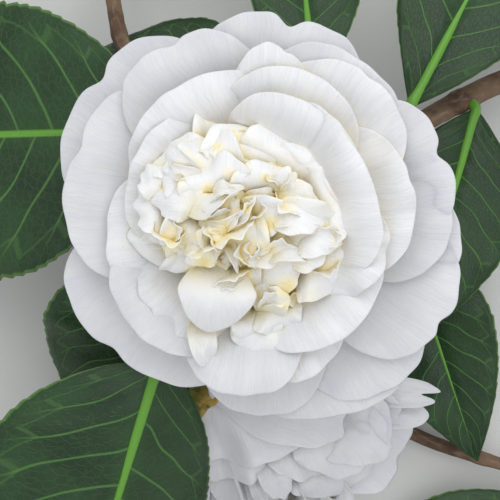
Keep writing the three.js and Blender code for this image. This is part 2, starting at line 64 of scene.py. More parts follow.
# How finely each kind of piece is drawn: cells across and along it alike, or two numbers where they differ
DETAIL = {
    "front petal": 22, "front strap": 16, "tongue": 12, "second petal": 20, "second strap": 18, "tuft": 14,
    "scale": 12, "frill": (22, 8), "stalk": (12, 60), "core": (20, 12),
}
LEAF_CELLS = 26                             # across a blade
LEAF_CELLS_ALONG = 1.4                      # for each millimetre of its length
LIMB_CELLS = 28                             # round a limb
LIMB_CELL = 0.9                             # length of one
BARK_RELIEF = 0.09                          # share of a limb's radius

# Light from above a petal: lines of sight round the bloom's axis, how far they look and how far they lean
RAYS = 12
REACH = 16
LEANS = (10, 35, 60)
GOLDEN_ANGLE = 137.5

# How much cream each kind of petal may take, its own at the foot and painted shade where sheltered; the lip
# is the long pale petal in the middle of the front bloom
# The same strength also paints a petal whiter, as painted light in the middle of a bloom
CREAM_SHADE_AND_LIGHT = {
    "wide": 0.2, "inner": 0.5, "lip": 0.6, "petaloid": 0.85, "frill": 1, "second": 0.12, "tuft": 0.2,
    "heart": 0.9,
}

# Blooms: where the petals meet, and the way that the bloom faces
FRONT_BLOOM = {"foot": (4.2, 9.2, 62), "axis": (-0.125, -0.094, 0.988)}
SECOND_BLOOM = {"foot": (-11.6, -36.2, 37.5), "axis": (0.87, -0.4, -0.27)}

# The front bloom's wide petals lie on a dome, their tips a little over it
DOME_HEIGHT = 42
DOME_RADIUS = 54
FRONT_RIM = 2

# Wide petals: azimuth, reach, width, extra lift, notch and its place, breadth and slant of the end
FRONT_GUARDS = [
    (82, 43.9, 37, -0.6, 0.07, -0.02, 0.13, 0.02),
    (57, 40.5, 34, -0.4, 0, 0, 0.08, 0),
    (19, 43, 33, 0.4, 0.06, 0.02, 0.12, -0.02),
    (2, 42, 32, -1.2, 0.02, 0.2, 0.08, 0),
    (-11, 44.4, 29, -2.6, 0, 0, 0.08, 0),
    (-29, 47, 33, 1.2, 0.04, -0.1, 0.11, 0),
    (-52, 48.6, 33, -1.5, 0, 0, 0.08, 0),
    (-69, 49.2, 42, -2.5, 0, 0, 0.09, 0.05),
    (-91, 46, 31, -4.5, 0, 0, 0.07, 0),
    (-96, 39, 27, 2.4, 0, 0, 0.1, 0),
    (-138, 47.6, 46, -1.5, 0.04, 0.0, 0.09, -0.09),
    (-136, 36.6, 32, -0.6, 0, 0, 0.07, -0.03),
    (167, 43.6, 44, 1.4, 0.04, -0.22, 0.08, 0),
    (147, 49.2, 46, -1.5, 0.05, -0.21, 0.09, 0),
    (119, 42.8, 33, 2.4, 0.04, -0.1, 0.1, 0),
]

# Inner petals: azimuth, reach, width, tip height, ruffle, waves of the ruffle, notch and its place
FRONT_INNER = [
    (84, 37.6, 19, 25, 0.4, 4, 0.03, -0.3),
    (49, 39.3, 35, 22.5, 0.9, 7, 0.03, 0.1),
    (70, 33.5, 32, 27, 0.6, 5, 0, 0),
    (9, 34.8, 34, 25, 1.1, 6, 0.03, 0.2),
    (200, 34, 37, 22, 1.1, 8, 0, 0),
    (227, 32, 27, 23.5, 1.2, 7, 0.05, -0.2),
    (-78, 37.2, 31, 20.5, 1.2, 8, 0.06, -0.2),
    (-50, 32, 34, 25.5, 0.5, 4, 0, 0),
    (-16, 30, 25, 28, 1.4, 7, 0.04, 0.1),
    (122, 33, 38, 26, 0.7, 4, 0.02, 0),
    (152, 29, 34, 27, 0.8, 4, 0.02, 0),
    (60, 28, 32, 32, 0.8, 4, 0.02, 0),
    (24, 27, 40, 33, 0.6, 4, 0, 0),
]

# Straps, petals placed one by one: the spots of foot, middle and tip (right, down and height), the width,
# the tilt at the foot and the tip, the cup, the fold, the ruffle and what differs from PLAIN_STRAP.
# A strap of a deeper layer lies lower, by LAYER for each, so that those above it stay clear of it
PLAIN_STRAP = {"claw": 0.42, "notch": 0, "notch_at": 0, "broad": 0, "jagged": 1, "layer": 0}
LAYER = 1.3
HIDDEN_STRAPS = 3                           # the last ones, which fill between the others
FRONT_STRAPS = [
    (
        (223, 254, 84), (217, 292, 94), (215, 332, 87), 17.5, 0, 0, -0.05, 0, 0.4,
        {"claw": 0.85, "broad": -0.04, "jagged": 0.5},
    ),
    ((205, 214, 86), (186, 203, 97), (152, 197, 91), 9, 10, -8, -0.05, 0, 0.7, {}),
    ((180, 206, 92), (206, 205, 98), (233, 187, 99), 6.5, 8, 62, -0.05, 0, 0.8, {"claw": 0.6}),
    ((196, 208, 88), (184, 226, 94), (174, 247, 90), 10, 0, 8, 0.16, 0, 0.8, {}),
    ((226, 236, 88), (208, 244, 95), (186, 260, 92), 9, 24, -20, 0, -0.42, 1.6, {"notch": 0.1}),
    ((218, 248, 90), (208, 238, 96), (205, 226, 98), 5.5, -35, -20, 0.1, 0.2, 1.0, {}),
    ((204, 238, 86), (228, 236, 94), (256, 220, 97), 12, -18, -26, 0.11, 0, 0.9, {}),
    ((226, 222, 87), (240, 212, 95), (258, 198, 98), 9, 48, 58, 0.06, 0.1, 0.8, {}),
    ((240, 228, 88), (258, 216, 96), (282, 206, 98), 10, 12, -30, 0.02, 0.12, 1.0, {}),
    ((206, 222, 86), (222, 212, 95), (240, 202, 97), 9, -12, 10, 0.08, 0.1, 0.8, {}),
    ((262, 196, 88), (290, 206, 97), (322, 222, 95), 12, -6, 16, -0.02, 0.18, 0.8, {}),
    ((272, 200, 88), (284, 188, 96), (291, 171, 97), 9, 26, -24, 0.06, 0.12, 1.1, {"notch": 0.08}),
    ((262, 206, 86), (262, 186, 96), (258, 160, 96), 15, 4, -10, -0.02, 0, 0.8, {}),
    ((222, 212, 86), (216, 186, 96), (210, 158, 94), 16, -6, 10, 0.02, 0.06, 1.1, {"notch": 0.06}),
    ((212, 202, 92), (219, 189, 99), (240, 188, 98), 5, 64, 44, 0.05, 0, 0.5, {"claw": 0.6}),
    ((204, 200, 86), (186, 186, 95), (162, 177, 93), 9.5, -14, 20, 0.12, 0, 0.8, {}),
    ((176, 200, 84), (160, 186, 93), (142, 170, 90), 8.5, 4, -4, -0.08, 0, 0.3, {"claw": 0.7}),
    ((186, 214, 84), (162, 208, 92), (136, 206, 88), 12.5, 6, -10, 0.09, 0, 0.6, {}),
    ((200, 186, 86), (184, 170, 95), (165, 158, 92), 8, 50, 30, 0.05, 0, 0.9, {}),
    ((218, 190, 84), (212, 164, 94), (206, 134, 90), 14, -4, 6, 0, 0.34, 0.6, {}),
    ((196, 196, 82), (184, 168, 91), (172, 142, 87), 16, 8, 8, -0.02, 0.08, 0.7, {}),
    ((236, 186, 84), (238, 158, 93), (236, 124, 89), 17, 6, -8, -0.01, 0.08, 0.6, {}),
    ((228, 238, 86), (238, 252, 94), (246, 268, 90), 6.5, 44, 20, 0.05, 0.1, 1.0, {}),
    ((222, 240, 86), (229, 252, 93), (234, 266, 89), 5.5, -38, -30, 0.08, 0.1, 1.0, {}),
    ((240, 240, 86), (252, 250, 93), (259, 266, 90), 6, 36, 52, 0.04, 0.1, 1.0, {}),
    ((250, 262, 84), (282, 246, 94), (318, 254, 92), 9, 40, 34, 0.03, 0, 0.9, {}),
    ((262, 240, 85), (298, 234, 95), (336, 230, 92), 17, -6, -16, 0.02, 0.05, 0.9, {"notch": 0.05}),
    ((276, 226, 86), (306, 230, 95), (334, 244, 92), 12, -24, 20, 0, 0.14, 1.1, {}),
    ((244, 288, 84), (272, 272, 92), (304, 254, 93), 12, 6, -26, -0.05, 0, 0.7, {}),
    ((292, 256, 82), (316, 268, 90), (340, 284, 86), 17, 0, 0, -0.04, 0, 0.6, {}),
    ((238, 262, 82), (222, 268, 89), (200, 271, 86), 9.5, 10, -14, 0.04, 0.05, 0.6, {}),
    ((258, 314, 80), (270, 302, 88), (280, 288, 91), 9, -24, 18, 0.04, 0, 0.8, {}),
    ((266, 300, 78), (276, 314, 85), (286, 330, 82), 12, 16, -10, -0.03, 0, 0.9, {"notch": 0.06}),
    ((254, 304, 78), (256, 322, 84), (252, 340, 81), 12, -10, 10, -0.03, 0.05, 0.9, {}),
    ((300, 214, 84), (322, 206, 93), (346, 196, 90), 18, 6, -6, 0.01, 0, 0.7, {}),
    ((292, 196, 84), (312, 178, 93), (330, 158, 89), 20, -4, 4, -0.01, 0.04, 0.7, {}),
    ((270, 190, 84), (282, 160, 93), (296, 132, 88), 20, 4, -4, -0.01, 0.05, 0.6, {}),
    ((192, 226, 82), (170, 228, 90), (150, 236, 86), 11, -6, 8, 0.08, 0, 0.8, {}),
    ((198, 236, 82), (182, 246, 89), (166, 260, 84), 11, 8, -10, 0.05, 0.04, 0.9, {"notch": 0.06}),
    ((201, 306, 76), (202, 338, 85), (210, 366, 79), 6.5, 8, 24, 0.05, 0, 0.3, {"claw": 0.7, "jagged": 0.2}),
    (
        (276, 296, 74), (264, 328, 83), (249, 356, 79), 15, -4, 6, -0.03, 0.02, 0.6,
        {"claw": 0.8, "jagged": 0.6},
    ),
    ((246, 226, 86), (227, 217, 96), (203, 214, 94), 13, 0, 6, 0.03, 0.05, 0.7, {"claw": 0.7}),
    ((250, 230, 84), (268, 236, 93), (290, 240, 92), 14, 0, -10, 0.03, 0.05, 0.7, {"claw": 0.7}),
    ((214, 236, 84), (204, 250, 90), (196, 264, 86), 13, 0, 10, 0.03, 0.05, 0.7, {"claw": 0.7}),
]

# Frills, petaloids that stand on edge: the spots their rim passes, the depth below it, and how far the foot
# lies to the right and down from under the rim
FRONT_FRILLS = [
    (((164, 158, 95), (171, 167, 96), (181, 174, 97), (191, 186, 96)), 7, (4, 6)),
    (((171, 178, 96), (181, 178, 98), (187, 183, 98), (190, 191, 96)), 6, (-2, 6)),
    (((204, 205, 99), (216, 196, 101), (225, 186, 101), (234, 189, 100), (239, 198, 99)), 8, (3, 9)),
    (((257, 196, 99), (247, 204, 101), (239, 211, 101), (232, 216, 99)), 8, (6, 7)),
    (((263, 197, 99), (265, 208, 101), (258, 216, 101), (249, 221, 99)), 7, (-6, 4)),
    (((273, 195, 98), (277, 207, 100), (290, 215, 100), (307, 218, 98)), 7, (4, -8)),
    (((263, 171, 97), (270, 180, 99), (277, 188, 98)), 6, (6, -2)),
    (((283, 166, 97), (289, 177, 99), (284, 190, 98)), 6, (-6, 2)),
    (((208, 253, 98), (222, 247, 101), (238, 239, 102), (252, 229, 101), (259, 219, 99)), 10, (-8, -11)),
    (((203, 225, 99), (207, 237, 101), (211, 249, 100)), 7, (6, 1)),
    (((182, 259, 97), (193, 260, 99), (205, 253, 101), (214, 252, 100), (222, 256, 98)), 7, (2, -9)),
    (
        ((152, 221, 95), (154, 235, 97), (163, 244, 98), (175, 246, 98), (183, 239, 97), (185, 226, 96)),
        8, (3, -8),
    ),
    (((175, 218, 97), (180, 231, 98), (178, 243, 97)), 7, (-6, -1)),
    (((241, 240, 97), (236, 250, 99), (240, 262, 98), (251, 269, 95)), 8, (7, -4)),
    (((249, 239, 98), (246, 251, 99), (253, 262, 97)), 8, (6, -1)),
    (((259, 240, 98), (255, 250, 99), (247, 260, 97)), 7, (6, 3)),
    (((256, 254, 96), (266, 245, 98), (280, 240, 99), (297, 243, 97)), 8, (3, 9)),
    (((207, 288, 94), (222, 284, 96), (238, 278, 96), (253, 274, 94)), 7, (-1, -8)),
    (((213, 292, 93), (230, 289, 95), (246, 283, 93)), 6, (0, -7)),
    (((333, 221, 94), (341, 234, 96), (336, 247, 96), (324, 252, 94)), 8, (-9, -3)),
    (((304, 271, 92), (321, 276, 94), (337, 271, 93), (343, 261, 91)), 8, (-3, -9)),
    (((280, 289, 91), (268, 294, 93), (255, 301, 91)), 8, (3, 9)),
    (((192, 143, 93), (201, 153, 95), (210, 165, 95)), 7, (6, -3)),
    (((219, 133, 92), (214, 149, 95), (210, 165, 95)), 8, (7, 2)),
    (((220, 124, 90), (230, 130, 92), (243, 131, 92), (252, 138, 90)), 7, (0, 8)),
    (((299, 237, 96), (312, 227, 97), (328, 224, 97), (341, 229, 95)), 7, (1, 9)),
    (((227, 167, 96), (238, 174, 98), (250, 172, 98), (259, 163, 96)), 7, (0, -8)),
    (((149, 166, 92), (158, 178, 94), (166, 191, 93)), 6, (6, -2)),
    (((268, 262, 95), (284, 262, 97), (298, 256, 97), (310, 246, 95)), 8, (-3, -8)),
    (((196, 206, 98), (210, 212, 100), (224, 210, 100), (234, 203, 98)), 8, (0, 8)),
    (((270, 222, 98), (284, 228, 99), (300, 230, 98)), 7, (0, -8)),
    (((262, 312, 88), (276, 306, 90), (290, 300, 90), (302, 288, 88)), 7, (-3, -8)),
]

# Painted shade between the petaloids, in deep cream: the spot, how wide and how strong, seen at one height
POCKET_HEIGHT = 94
SHADE_POCKETS = [
    (218, 147, 6, 0.8), (181, 162, 6, 0.4), (180, 184, 6, 0.5), (208, 190, 8, 0.9), (229, 175, 8, 0.6),
    (245, 196, 8, 0.7), (247, 210, 6, 0.7), (265, 179, 7, 0.7), (281, 193, 9, 0.6), (288, 210, 9, 0.4),
    (270, 224, 9, 0.9), (225, 233, 12, 0.8), (171, 229, 6, 0.6), (197, 236, 8, 0.6), (170, 249, 9, 0.6),
    (204, 263, 12, 0.85), (194, 271, 10, 0.7), (270, 250, 11, 0.6), (246, 267, 8, 0.6), (288, 288, 14, 0.85),
    (289, 306, 12, 0.6), (313, 298, 14, 0.35), (300, 182, 20, 0.3), (330, 200, 26, 0.22),
]

# Petaloids that fill between: rings within rings of tongues that rise from the middle and bend over.
# Each ring: count, reach, width, tip height, crest over the tip, start angle
FRONT_RINGS = [
    (12, 23, 17, 20.5, 4, 10),
    (10, 17, 14, 27, 4, 24),
    (8, 11, 12, 30, 3.5, 3),
    (5, 6, 10, 32, 3, 31),
]
FRONT_MIDDLE = (-5.5, 1)                    # where the rings stand round, in the bloom's own directions
FRONT_SEED = 7
PETALOID_RISE = 20                          # from the foot to the ring's tip height
HEART = {"radius": 17, "height": 28.5}      # the fleshy middle of the bloom, seen only between the petals

# The second bloom's petals, in the same columns as the front bloom's
SECOND_GUARDS = [
    (162, 40, 40, -1.5, 0.03, 0, 0.08, 0),
    (202, 40, 38, 0.5, 0.03, 0, 0.08, 0),
    (242, 40, 40, -1, 0.03, 0, 0.08, 0),
    (282, 41, 40, 0.5, 0.03, 0, 0.08, 0),
    (320, 42, 40, -0.5, 0.04, 0, 0.08, 0),
]
SECOND_RIM = 19
SECOND_INNER = {"count": 5, "start": 174, "between": 45, "reach": 35, "width": 33, "tip": 31, "foot": 6}
SECOND_STRAPS = [
    (
        (216, 386, 40), (238, 427, 45), (254, 469, 41), 27, 2, -4, -0.012, 0, 0.3,
        {"claw": 0.75, "broad": 0.2, "layer": 1},
    ),
    ((208, 390, 43), (272, 400, 49), (347, 422, 45), 20, 0, 0, -0.012, 0, 0.3, {"claw": 0.6, "broad": 0.12}),
    (
        (206, 412, 38), (227, 450, 40), (247, 489, 35), 20, 0, 4, -0.012, 0, 0.4,
        {"claw": 0.8, "broad": 0.15, "layer": 2.5},
    ),
    (
        (278, 402, 26), (338, 430, 27), (406, 463, 20), 29, 0, 0, -0.015, 0, 0.7,
        {"claw": 0.5, "notch": 0.05, "broad": 0.08},
    ),
    ((258, 418, 24), (294, 450, 26), (329, 489, 19), 18, 0, 0, -0.015, 0, 0.7, {"claw": 0.5, "broad": 0.06}),
    ((330, 392, 36), (384, 391, 38), (441, 397, 33), 8, -6, 14, 0, 0.1, 0.6, {"notch": 0.16, "jagged": 0.5}),
    ((330, 402, 34), (376, 410, 36), (430, 417, 31), 9, 6, 4, -0.02, 0, 0.2, {"claw": 0.8, "jagged": 0.1}),
    ((310, 392, 32), (356, 402, 36), (402, 414, 31), 13, 6, -10, -0.02, 0.05, 0.6, {"jagged": 0.6}),
    (
        (226, 452, 25), (237, 484, 28), (246, 520, 25), 13, 0, 0, -0.02, 0, 0.3,
        {"claw": 0.7, "jagged": 0.4, "layer": 4},
    ),
    (
        (248, 450, 29), (258, 478, 32), (262, 507, 28), 5.5, 0, 0, -0.02, 0, 0.3,
        {"claw": 0.7, "jagged": 0.3, "layer": 4},
    ),
    (
        (256, 440, 31), (271, 468, 37), (284, 498, 33), 8, -8, 6, -0.02, 0.03, 0.4,
        {"claw": 0.7, "broad": 0.12, "jagged": 0.6, "layer": 4},
    ),
    ((268, 436, 28), (284, 462, 33), (297, 488, 29), 7, 10, 10, -0.02, 0.05, 0.4, {"claw": 0.7}),
    ((282, 410, 34), (318, 436, 40), (348, 464, 35), 16, 10, -6, -0.03, 0.1, 0.8, {}),
    ((290, 404, 36), (326, 434, 42), (356, 474, 36), 20, 4, -8, -0.03, 0.03, 0.6, {"claw": 0.6}),
    ((306, 402, 36), (350, 426, 42), (384, 456, 36), 20, -6, 4, -0.03, 0.03, 0.6, {"claw": 0.6}),
    ((296, 402, 34), (342, 424, 41), (380, 454, 36), 16, 14, -12, -0.02, 0.08, 0.8, {"notch": 0.06}),
    ((306, 398, 34), (354, 410, 39), (398, 438, 34), 16, -10, 6, 0.02, 0.08, 0.8, {"notch": 0.08}),
    ((270, 418, 32), (296, 443, 38), (319, 471, 33), 17, -6, 6, 0.02, 0.05, 0.8, {}),
    ((292, 430, 26), (326, 460, 33), (350, 490, 27), 24, 0, 0, -0.03, 0.03, 0.6, {"claw": 0.6}),
]
SECOND_RINGS = [
    (11, 22, 18, 31, 4, 5),
    (9, 16, 15, 36, 4, 30),
    (7, 10, 13, 40, 4, 12),
    (3, 4.5, 10, 43, 3, 60),
]
SECOND_SEED = 23
HIDDEN_TUFTS = (10, 165)                    # azimuths where a tongue would only show as a ragged end below

# The second bloom slips under the lower left leaf (TUCK) and the front bloom (COVER): how far each kind of
# piece stays below them, and how that fades and slopes. Its lowest petals lie on the floor, one over another
TUCK = {"petal": 4.2, "strap": 1.5, "scale": 2.6, "fade": 7, "slope": 0.06}
COVER = {"height": -1.8, "slope": 0.2, "level": 3.2, "edge": 52, "fade": 6}
LIE = {"lowest": 0.7, "between": 0.03}

# Scales of a calyx: count, start angle, reach, width, and the heights of foot and tip
CALYX_RINGS = ((5, 50, 9.5, 11, -2.8, 1.2), (4, 20, 6.5, 9, -3.4, -0.6))
CALYX_CORE = (-CALYX_DEPTH, -3, -1.5, 0.4)  # heights on the bloom's axis that the core passes

# Limbs: radius at the start and the end, and the points that the middle line passes
LIMBS = {
    "stem_main": {
        "radii": (3.3, 2.0),
        "points": [
            (99.2, 55.9, 3.6), (63.2, 42.1, 17), (42.2, 31.3, 31), (22.3, 19.9, 44), (11.6, 13.2, 50.5),
        ],
        "bloom": FRONT_BLOOM,
    },
    "twig_upper": {
        "radii": (2.2, 1.7),
        "points": [
            (22.3, 20, 44.2), (17.4, 25.6, 48), (4.2, 29.6, 51), (-15.8, 35.3, 49), (-28.4, 45.9, 40),
            (-33, 59.4, 28), (-35.4, 81, 14),
        ],
    },
    "twig_lower": {
        "radii": (2.1, 1.7),
        "points": [
            (15, 15.6, 48.6), (9.5, 5.8, 49.5), (-2.3, -2.8, 49.5), (-13, -9.7, 48.5), (-20, -17.5, 46.5),
            (-23.5, -26.5, 43),
        ],
        "bloom": SECOND_BLOOM,
    },
    "twig_right": {
        "radii": (2.2, 1.5),
        "points": [
            (38.5, 29, 33.5), (33.5, 19, 20.5), (31, 2.5, 12), (30.9, -17.7, 6), (34.3, -35.6, 3.4),
            (39.9, -45.7, 4), (58.1, -52.5, 7), (78.3, -58.1, 7),
        ],
    },
}

# Leaves: foot, heading, length, width, pitch at the foot and the tip, and what differs from PLAIN_LEAF
PLAIN_LEAF = {"fold": 8, "roll": 0, "sweep": 0, "skew": 0, "blunt": 0.9, "widest": 0.42, "wave": 0.7}
LEAVES = {
    "leaf_left": {
        "foot": (-10.9, 27.3, 58), "heading": 180, "length": 112, "width": 66, "pitch": (-10, -54),
        "fold": 5, "roll": 2, "blunt": 1.15, "widest": 0.46, "skew": -0.04,
        "limb": "twig_upper", "place": 0.27,
    },
    "leaf_lower_left": {
        "foot": (-21.1, -26.6, 55), "heading": 253, "length": 92, "width": 61, "pitch": (-6, -46),
        "fold": -11, "roll": -22, "blunt": 0.55, "widest": 0.44, "skew": 0.16, "sweep": -1,
        "limb": "twig_lower", "place": 0.76,
    },
    "leaf_left_under": {
        "foot": (-20.5, -1, 49), "heading": 250, "length": 62, "width": 40, "pitch": (-30, -46),
        "fold": 8, "blunt": 0.8, "skew": 0.12, "limb": "twig_lower", "place": 0.55,
    },
    "leaf_top_left": {
        "foot": (3.5, 40.2, 46), "heading": 174, "length": 48, "width": 37, "pitch": (-11, -21),
        "fold": -6, "roll": 28, "wave": 0.3, "limb": "twig_upper", "place": 0.16,
    },
    "leaf_top": {
        "foot": (15, 37.5, 48), "heading": 95, "length": 67, "width": 28, "pitch": (-8, -42),
        "fold": 10, "limb": "twig_upper", "place": 0.1,
    },
    "leaf_upper_right": {
        "foot": (37.7, 33.4, 40), "heading": 62, "length": 84, "width": 38, "pitch": (2, -44),
        "fold": 10, "roll": -6, "blunt": 1, "widest": 0.45, "limb": "stem_main", "place": 0.58,
    },
    "leaf_right": {
        "foot": (55, 34.5, 26), "heading": 255, "length": 60, "width": 35, "pitch": (4, -10),
        "fold": 10, "roll": -8, "limb": "stem_main", "place": 0.45,
    },
    "leaf_lower_right": {
        "foot": (37.3, 3.7, 19), "heading": -71, "length": 60, "width": 31, "pitch": (0, -12),
        "fold": 10, "roll": 12, "limb": "twig_right", "place": 0.3,
    },
    "leaf_corner": {
        "foot": (75, -63, 9), "heading": 214, "length": 66, "width": 36, "pitch": (4, -12),
        "fold": 10, "roll": 4, "limb": "twig_right", "place": 0.93,
    },
    "leaf_upper_twig_end": {
        "foot": (-36.4, 89, 12), "heading": 100, "length": 62, "width": 34, "pitch": (12, -35),
        "fold": 10, "limb": "twig_upper", "place": 1,
    },
    "leaf_upper_twig_side": {
        "foot": (-29, 77, 19), "heading": 48, "length": 58, "width": 32, "pitch": (8, -36),
        "fold": 10, "limb": "twig_upper", "place": 0.86,
    },
    "leaf_right_twig_end": {
        "foot": (86, -60, 7.5), "heading": -22, "length": 60, "width": 32, "pitch": (14, -28),
        "fold": 10, "limb": "twig_right", "place": 1,
    },
}
# Side veins of a leaf: how many a half has, how far they sweep forwards, their bend, and one half's shift
VEINS = {"count": 10, "sweep": 2.3, "bend": 1.2, "shift": 0.45}

# Relief of a blade: length and depth of its teeth, the quilting's height, the rib groove's depth and width
RELIEF = {"tooth": 3.2, "notch": 0.02, "quilting": 0.22, "groove": 0.5, "groove_width": 1.1}

# The leafstalk runs on below the blade as its rib: its radius, how much of it is lost by the tip, how far its
# line runs below the blade and how much nearer at the tip, and where on the blade's length the line passes
LEAFSTALK = {"radius": 1.5, "lost": 1.05, "below": 0.55, "nearer": 0.1}
LEAFSTALK_PLACES = (0.0, 0.06, 0.25, 0.6, 0.93)


# Small mathematics on arrays
def smooth(x):
    x = np.clip(x, 0, 1)
    return x * x * (3 - 2 * x)


def settle(height, floor):
    """The height, brought smoothly to the floor where it would come near or below it."""
    low = floor + KNEE * np.exp(np.minimum((height - floor - KNEE) / KNEE, 0))
    return np.where(height > floor + KNEE, height, low)


def unit(vector):
    vector = np.array(vector, float)
    return vector / np.linalg.norm(vector)


def pixel_at(height):
    """What a pixel of the picture measures at a height above the floor."""
    return PIXEL * (CAMERA_HEIGHT - height) / PIXEL_DISTANCE


def spot(right, down, height):
    """A place seen at a spot of the picture, at a height above the floor."""
    pixel = pixel_at(height)
    return np.array(((right - PICTURE_MIDDLE) * pixel, (PICTURE_MIDDLE - down) * pixel, height))


def bezier(points, t):
    """Places on a curve with four control points, and the directions there."""
    p = np.array(points, float)
    t = t[:, None]
    place = (1 - t) ** 3 * p[0] + 3 * (1 - t) ** 2 * t * p[1] + 3 * (1 - t) * t ** 2 * p[2] + t ** 3 * p[3]
    slope = (1 - t) ** 2 * (p[1] - p[0]) + 2 * (1 - t) * t * (p[2] - p[1]) + t ** 2 * (p[3] - p[2])
    return place, slope / np.linalg.norm(slope, axis=1, keepdims=True)


def curve_between(a, b, c, d, w):
    """A place between b and c on a smooth curve that comes from a and goes on to d."""
    straight = (c - a) * w
    bent = (2 * a - 5 * b + 4 * c - d) * w ** 2
    turned = (3 * b - a - 3 * c + d) * w ** 3
    return 0.5 * (2 * b + straight + bent + turned)


def read_line(at, run, values):
    """What a line's values are at some distances along it, the line being known at the distances in run."""
    return np.stack([np.interp(at, run, values[:, k]) for k in range(3)], 1)


def smooth_line(points, steps):
    """Even steps along a smooth line through the points, as places and directions, and its length."""
    p = np.array(points, float)
    before = np.vstack([2 * p[0] - p[1], p, 2 * p[-1] - p[-2]])
    fine = []
    for k in range(len(p) - 1):
        for w in np.linspace(0, 1, 40, endpoint=False):
            fine.append(curve_between(*before[k:k + 4], w))
    fine.append(p[-1])
    fine = np.array(fine)
    run = np.concatenate([[0], np.cumsum(np.linalg.norm(np.diff(fine, axis=0), axis=1))])
    at = np.linspace(0, run[-1], steps + 1)
    line = read_line(at, run, fine)
    ahead = np.gradient(line, axis=0)
    return line, ahead / np.linalg.norm(ahead, axis=1, keepdims=True), run[-1]


def noise_at(places):
    return np.array([noise.noise(Vector(place)) for place in places])


# Pieces
bpy.ops.object.select_all(action="DESELECT")


def select_only(*pieces):
    bpy.ops.object.select_all(action="DESELECT")
    for piece in pieces:
        piece.select_set(True)
    bpy.context.view_layer.objects.active = pieces[0]


def read_corners(piece):
    corners = np.empty(len(piece.data.vertices) * 3)
    piece.data.vertices.foreach_get("co", corners)
    return corners.reshape(-1, 3)


def write_corners(piece, points):
    piece.data.vertices.foreach_set("co", ((points + SHIFT) * MM).ravel())
    piece.data.update()


def write_number(piece, name, values):
    """A number at each corner, for the finish to read."""
    attribute = piece.data.attributes.new(name, "FLOAT", "POINT")
    attribute.data.foreach_set("value", np.broadcast_to(values, len(piece.data.vertices)).astype(np.float32))


def write_map(piece, u, v):
    """The piece's own UV map, from two numbers at each corner."""
    layer = piece.data.uv_layers.active or piece.data.uv_layers.new(name="UVMap")
    loops = np.empty(len(piece.data.loops), np.int32)
    piece.data.loops.foreach_get("vertex_index", loops)
    count = len(piece.data.vertices)
    both = np.stack([np.broadcast_to(u, count), np.broadcast_to(v, count)], 1)
    layer.data.foreach_set("uv", both[loops].astype(np.float32).ravel())


def thicken(piece, thickness, levels):
    """A sheet made a thin closed shell, its rim rounded by subdivision."""
    select_only(piece)
    shell = piece.modifiers.new("shell", "SOLIDIFY")
    shell.thickness = thickness * MM
    shell.offset = 0
    bpy.ops.object.modifier_apply(modifier="shell")
    if levels:
        rounding = piece.modifiers.new("rounding", "SUBSURF")
        rounding.levels = levels
        rounding.render_levels = levels
        bpy.ops.object.modifier_apply(modifier="rounding")
    bpy.ops.object.shade_smooth()


def join(pieces, name):
    select_only(*pieces)
    bpy.ops.object.join()
    pieces[0].name = name
    pieces[0].data.name = name
    return pieces[0]


def finish_piece(piece, material, slot, *nodes):
    piece.data.materials.clear()
    piece.data.materials.append(material)
    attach(piece, "root")
    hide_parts(*nodes)


def add_sheet(across, along):
    """A flat grid, and the place of each corner on it, from -1 to 1 both ways."""
    bpy.ops.mesh.primitive_grid_add(x_subdivisions=across, y_subdivisions=along, size=2)
    sheet = bpy.context.object
    corners = read_corners(sheet)
    return sheet, corners[:, 0], corners[:, 1]


# Petals
PLAIN_PETAL = {
    "foot_radius": 2, "bow": 0.35, "over": 1.5, "claw": 0.3, "notch": 0.03, "notch_at": 0, "broad": 0,
    "slant": 0, "cup_foot": 0.02, "cup_tip": -0.008, "side": 0, "roll": 1, "turn": 0, "shift": (0, 0),
    "swirl": 0, "fold": 0, "ruffle": 0.4, "waves": 5, "phase": 0, "crease": 0.25, "curl": 0,
    "scallop": 0.006,
}


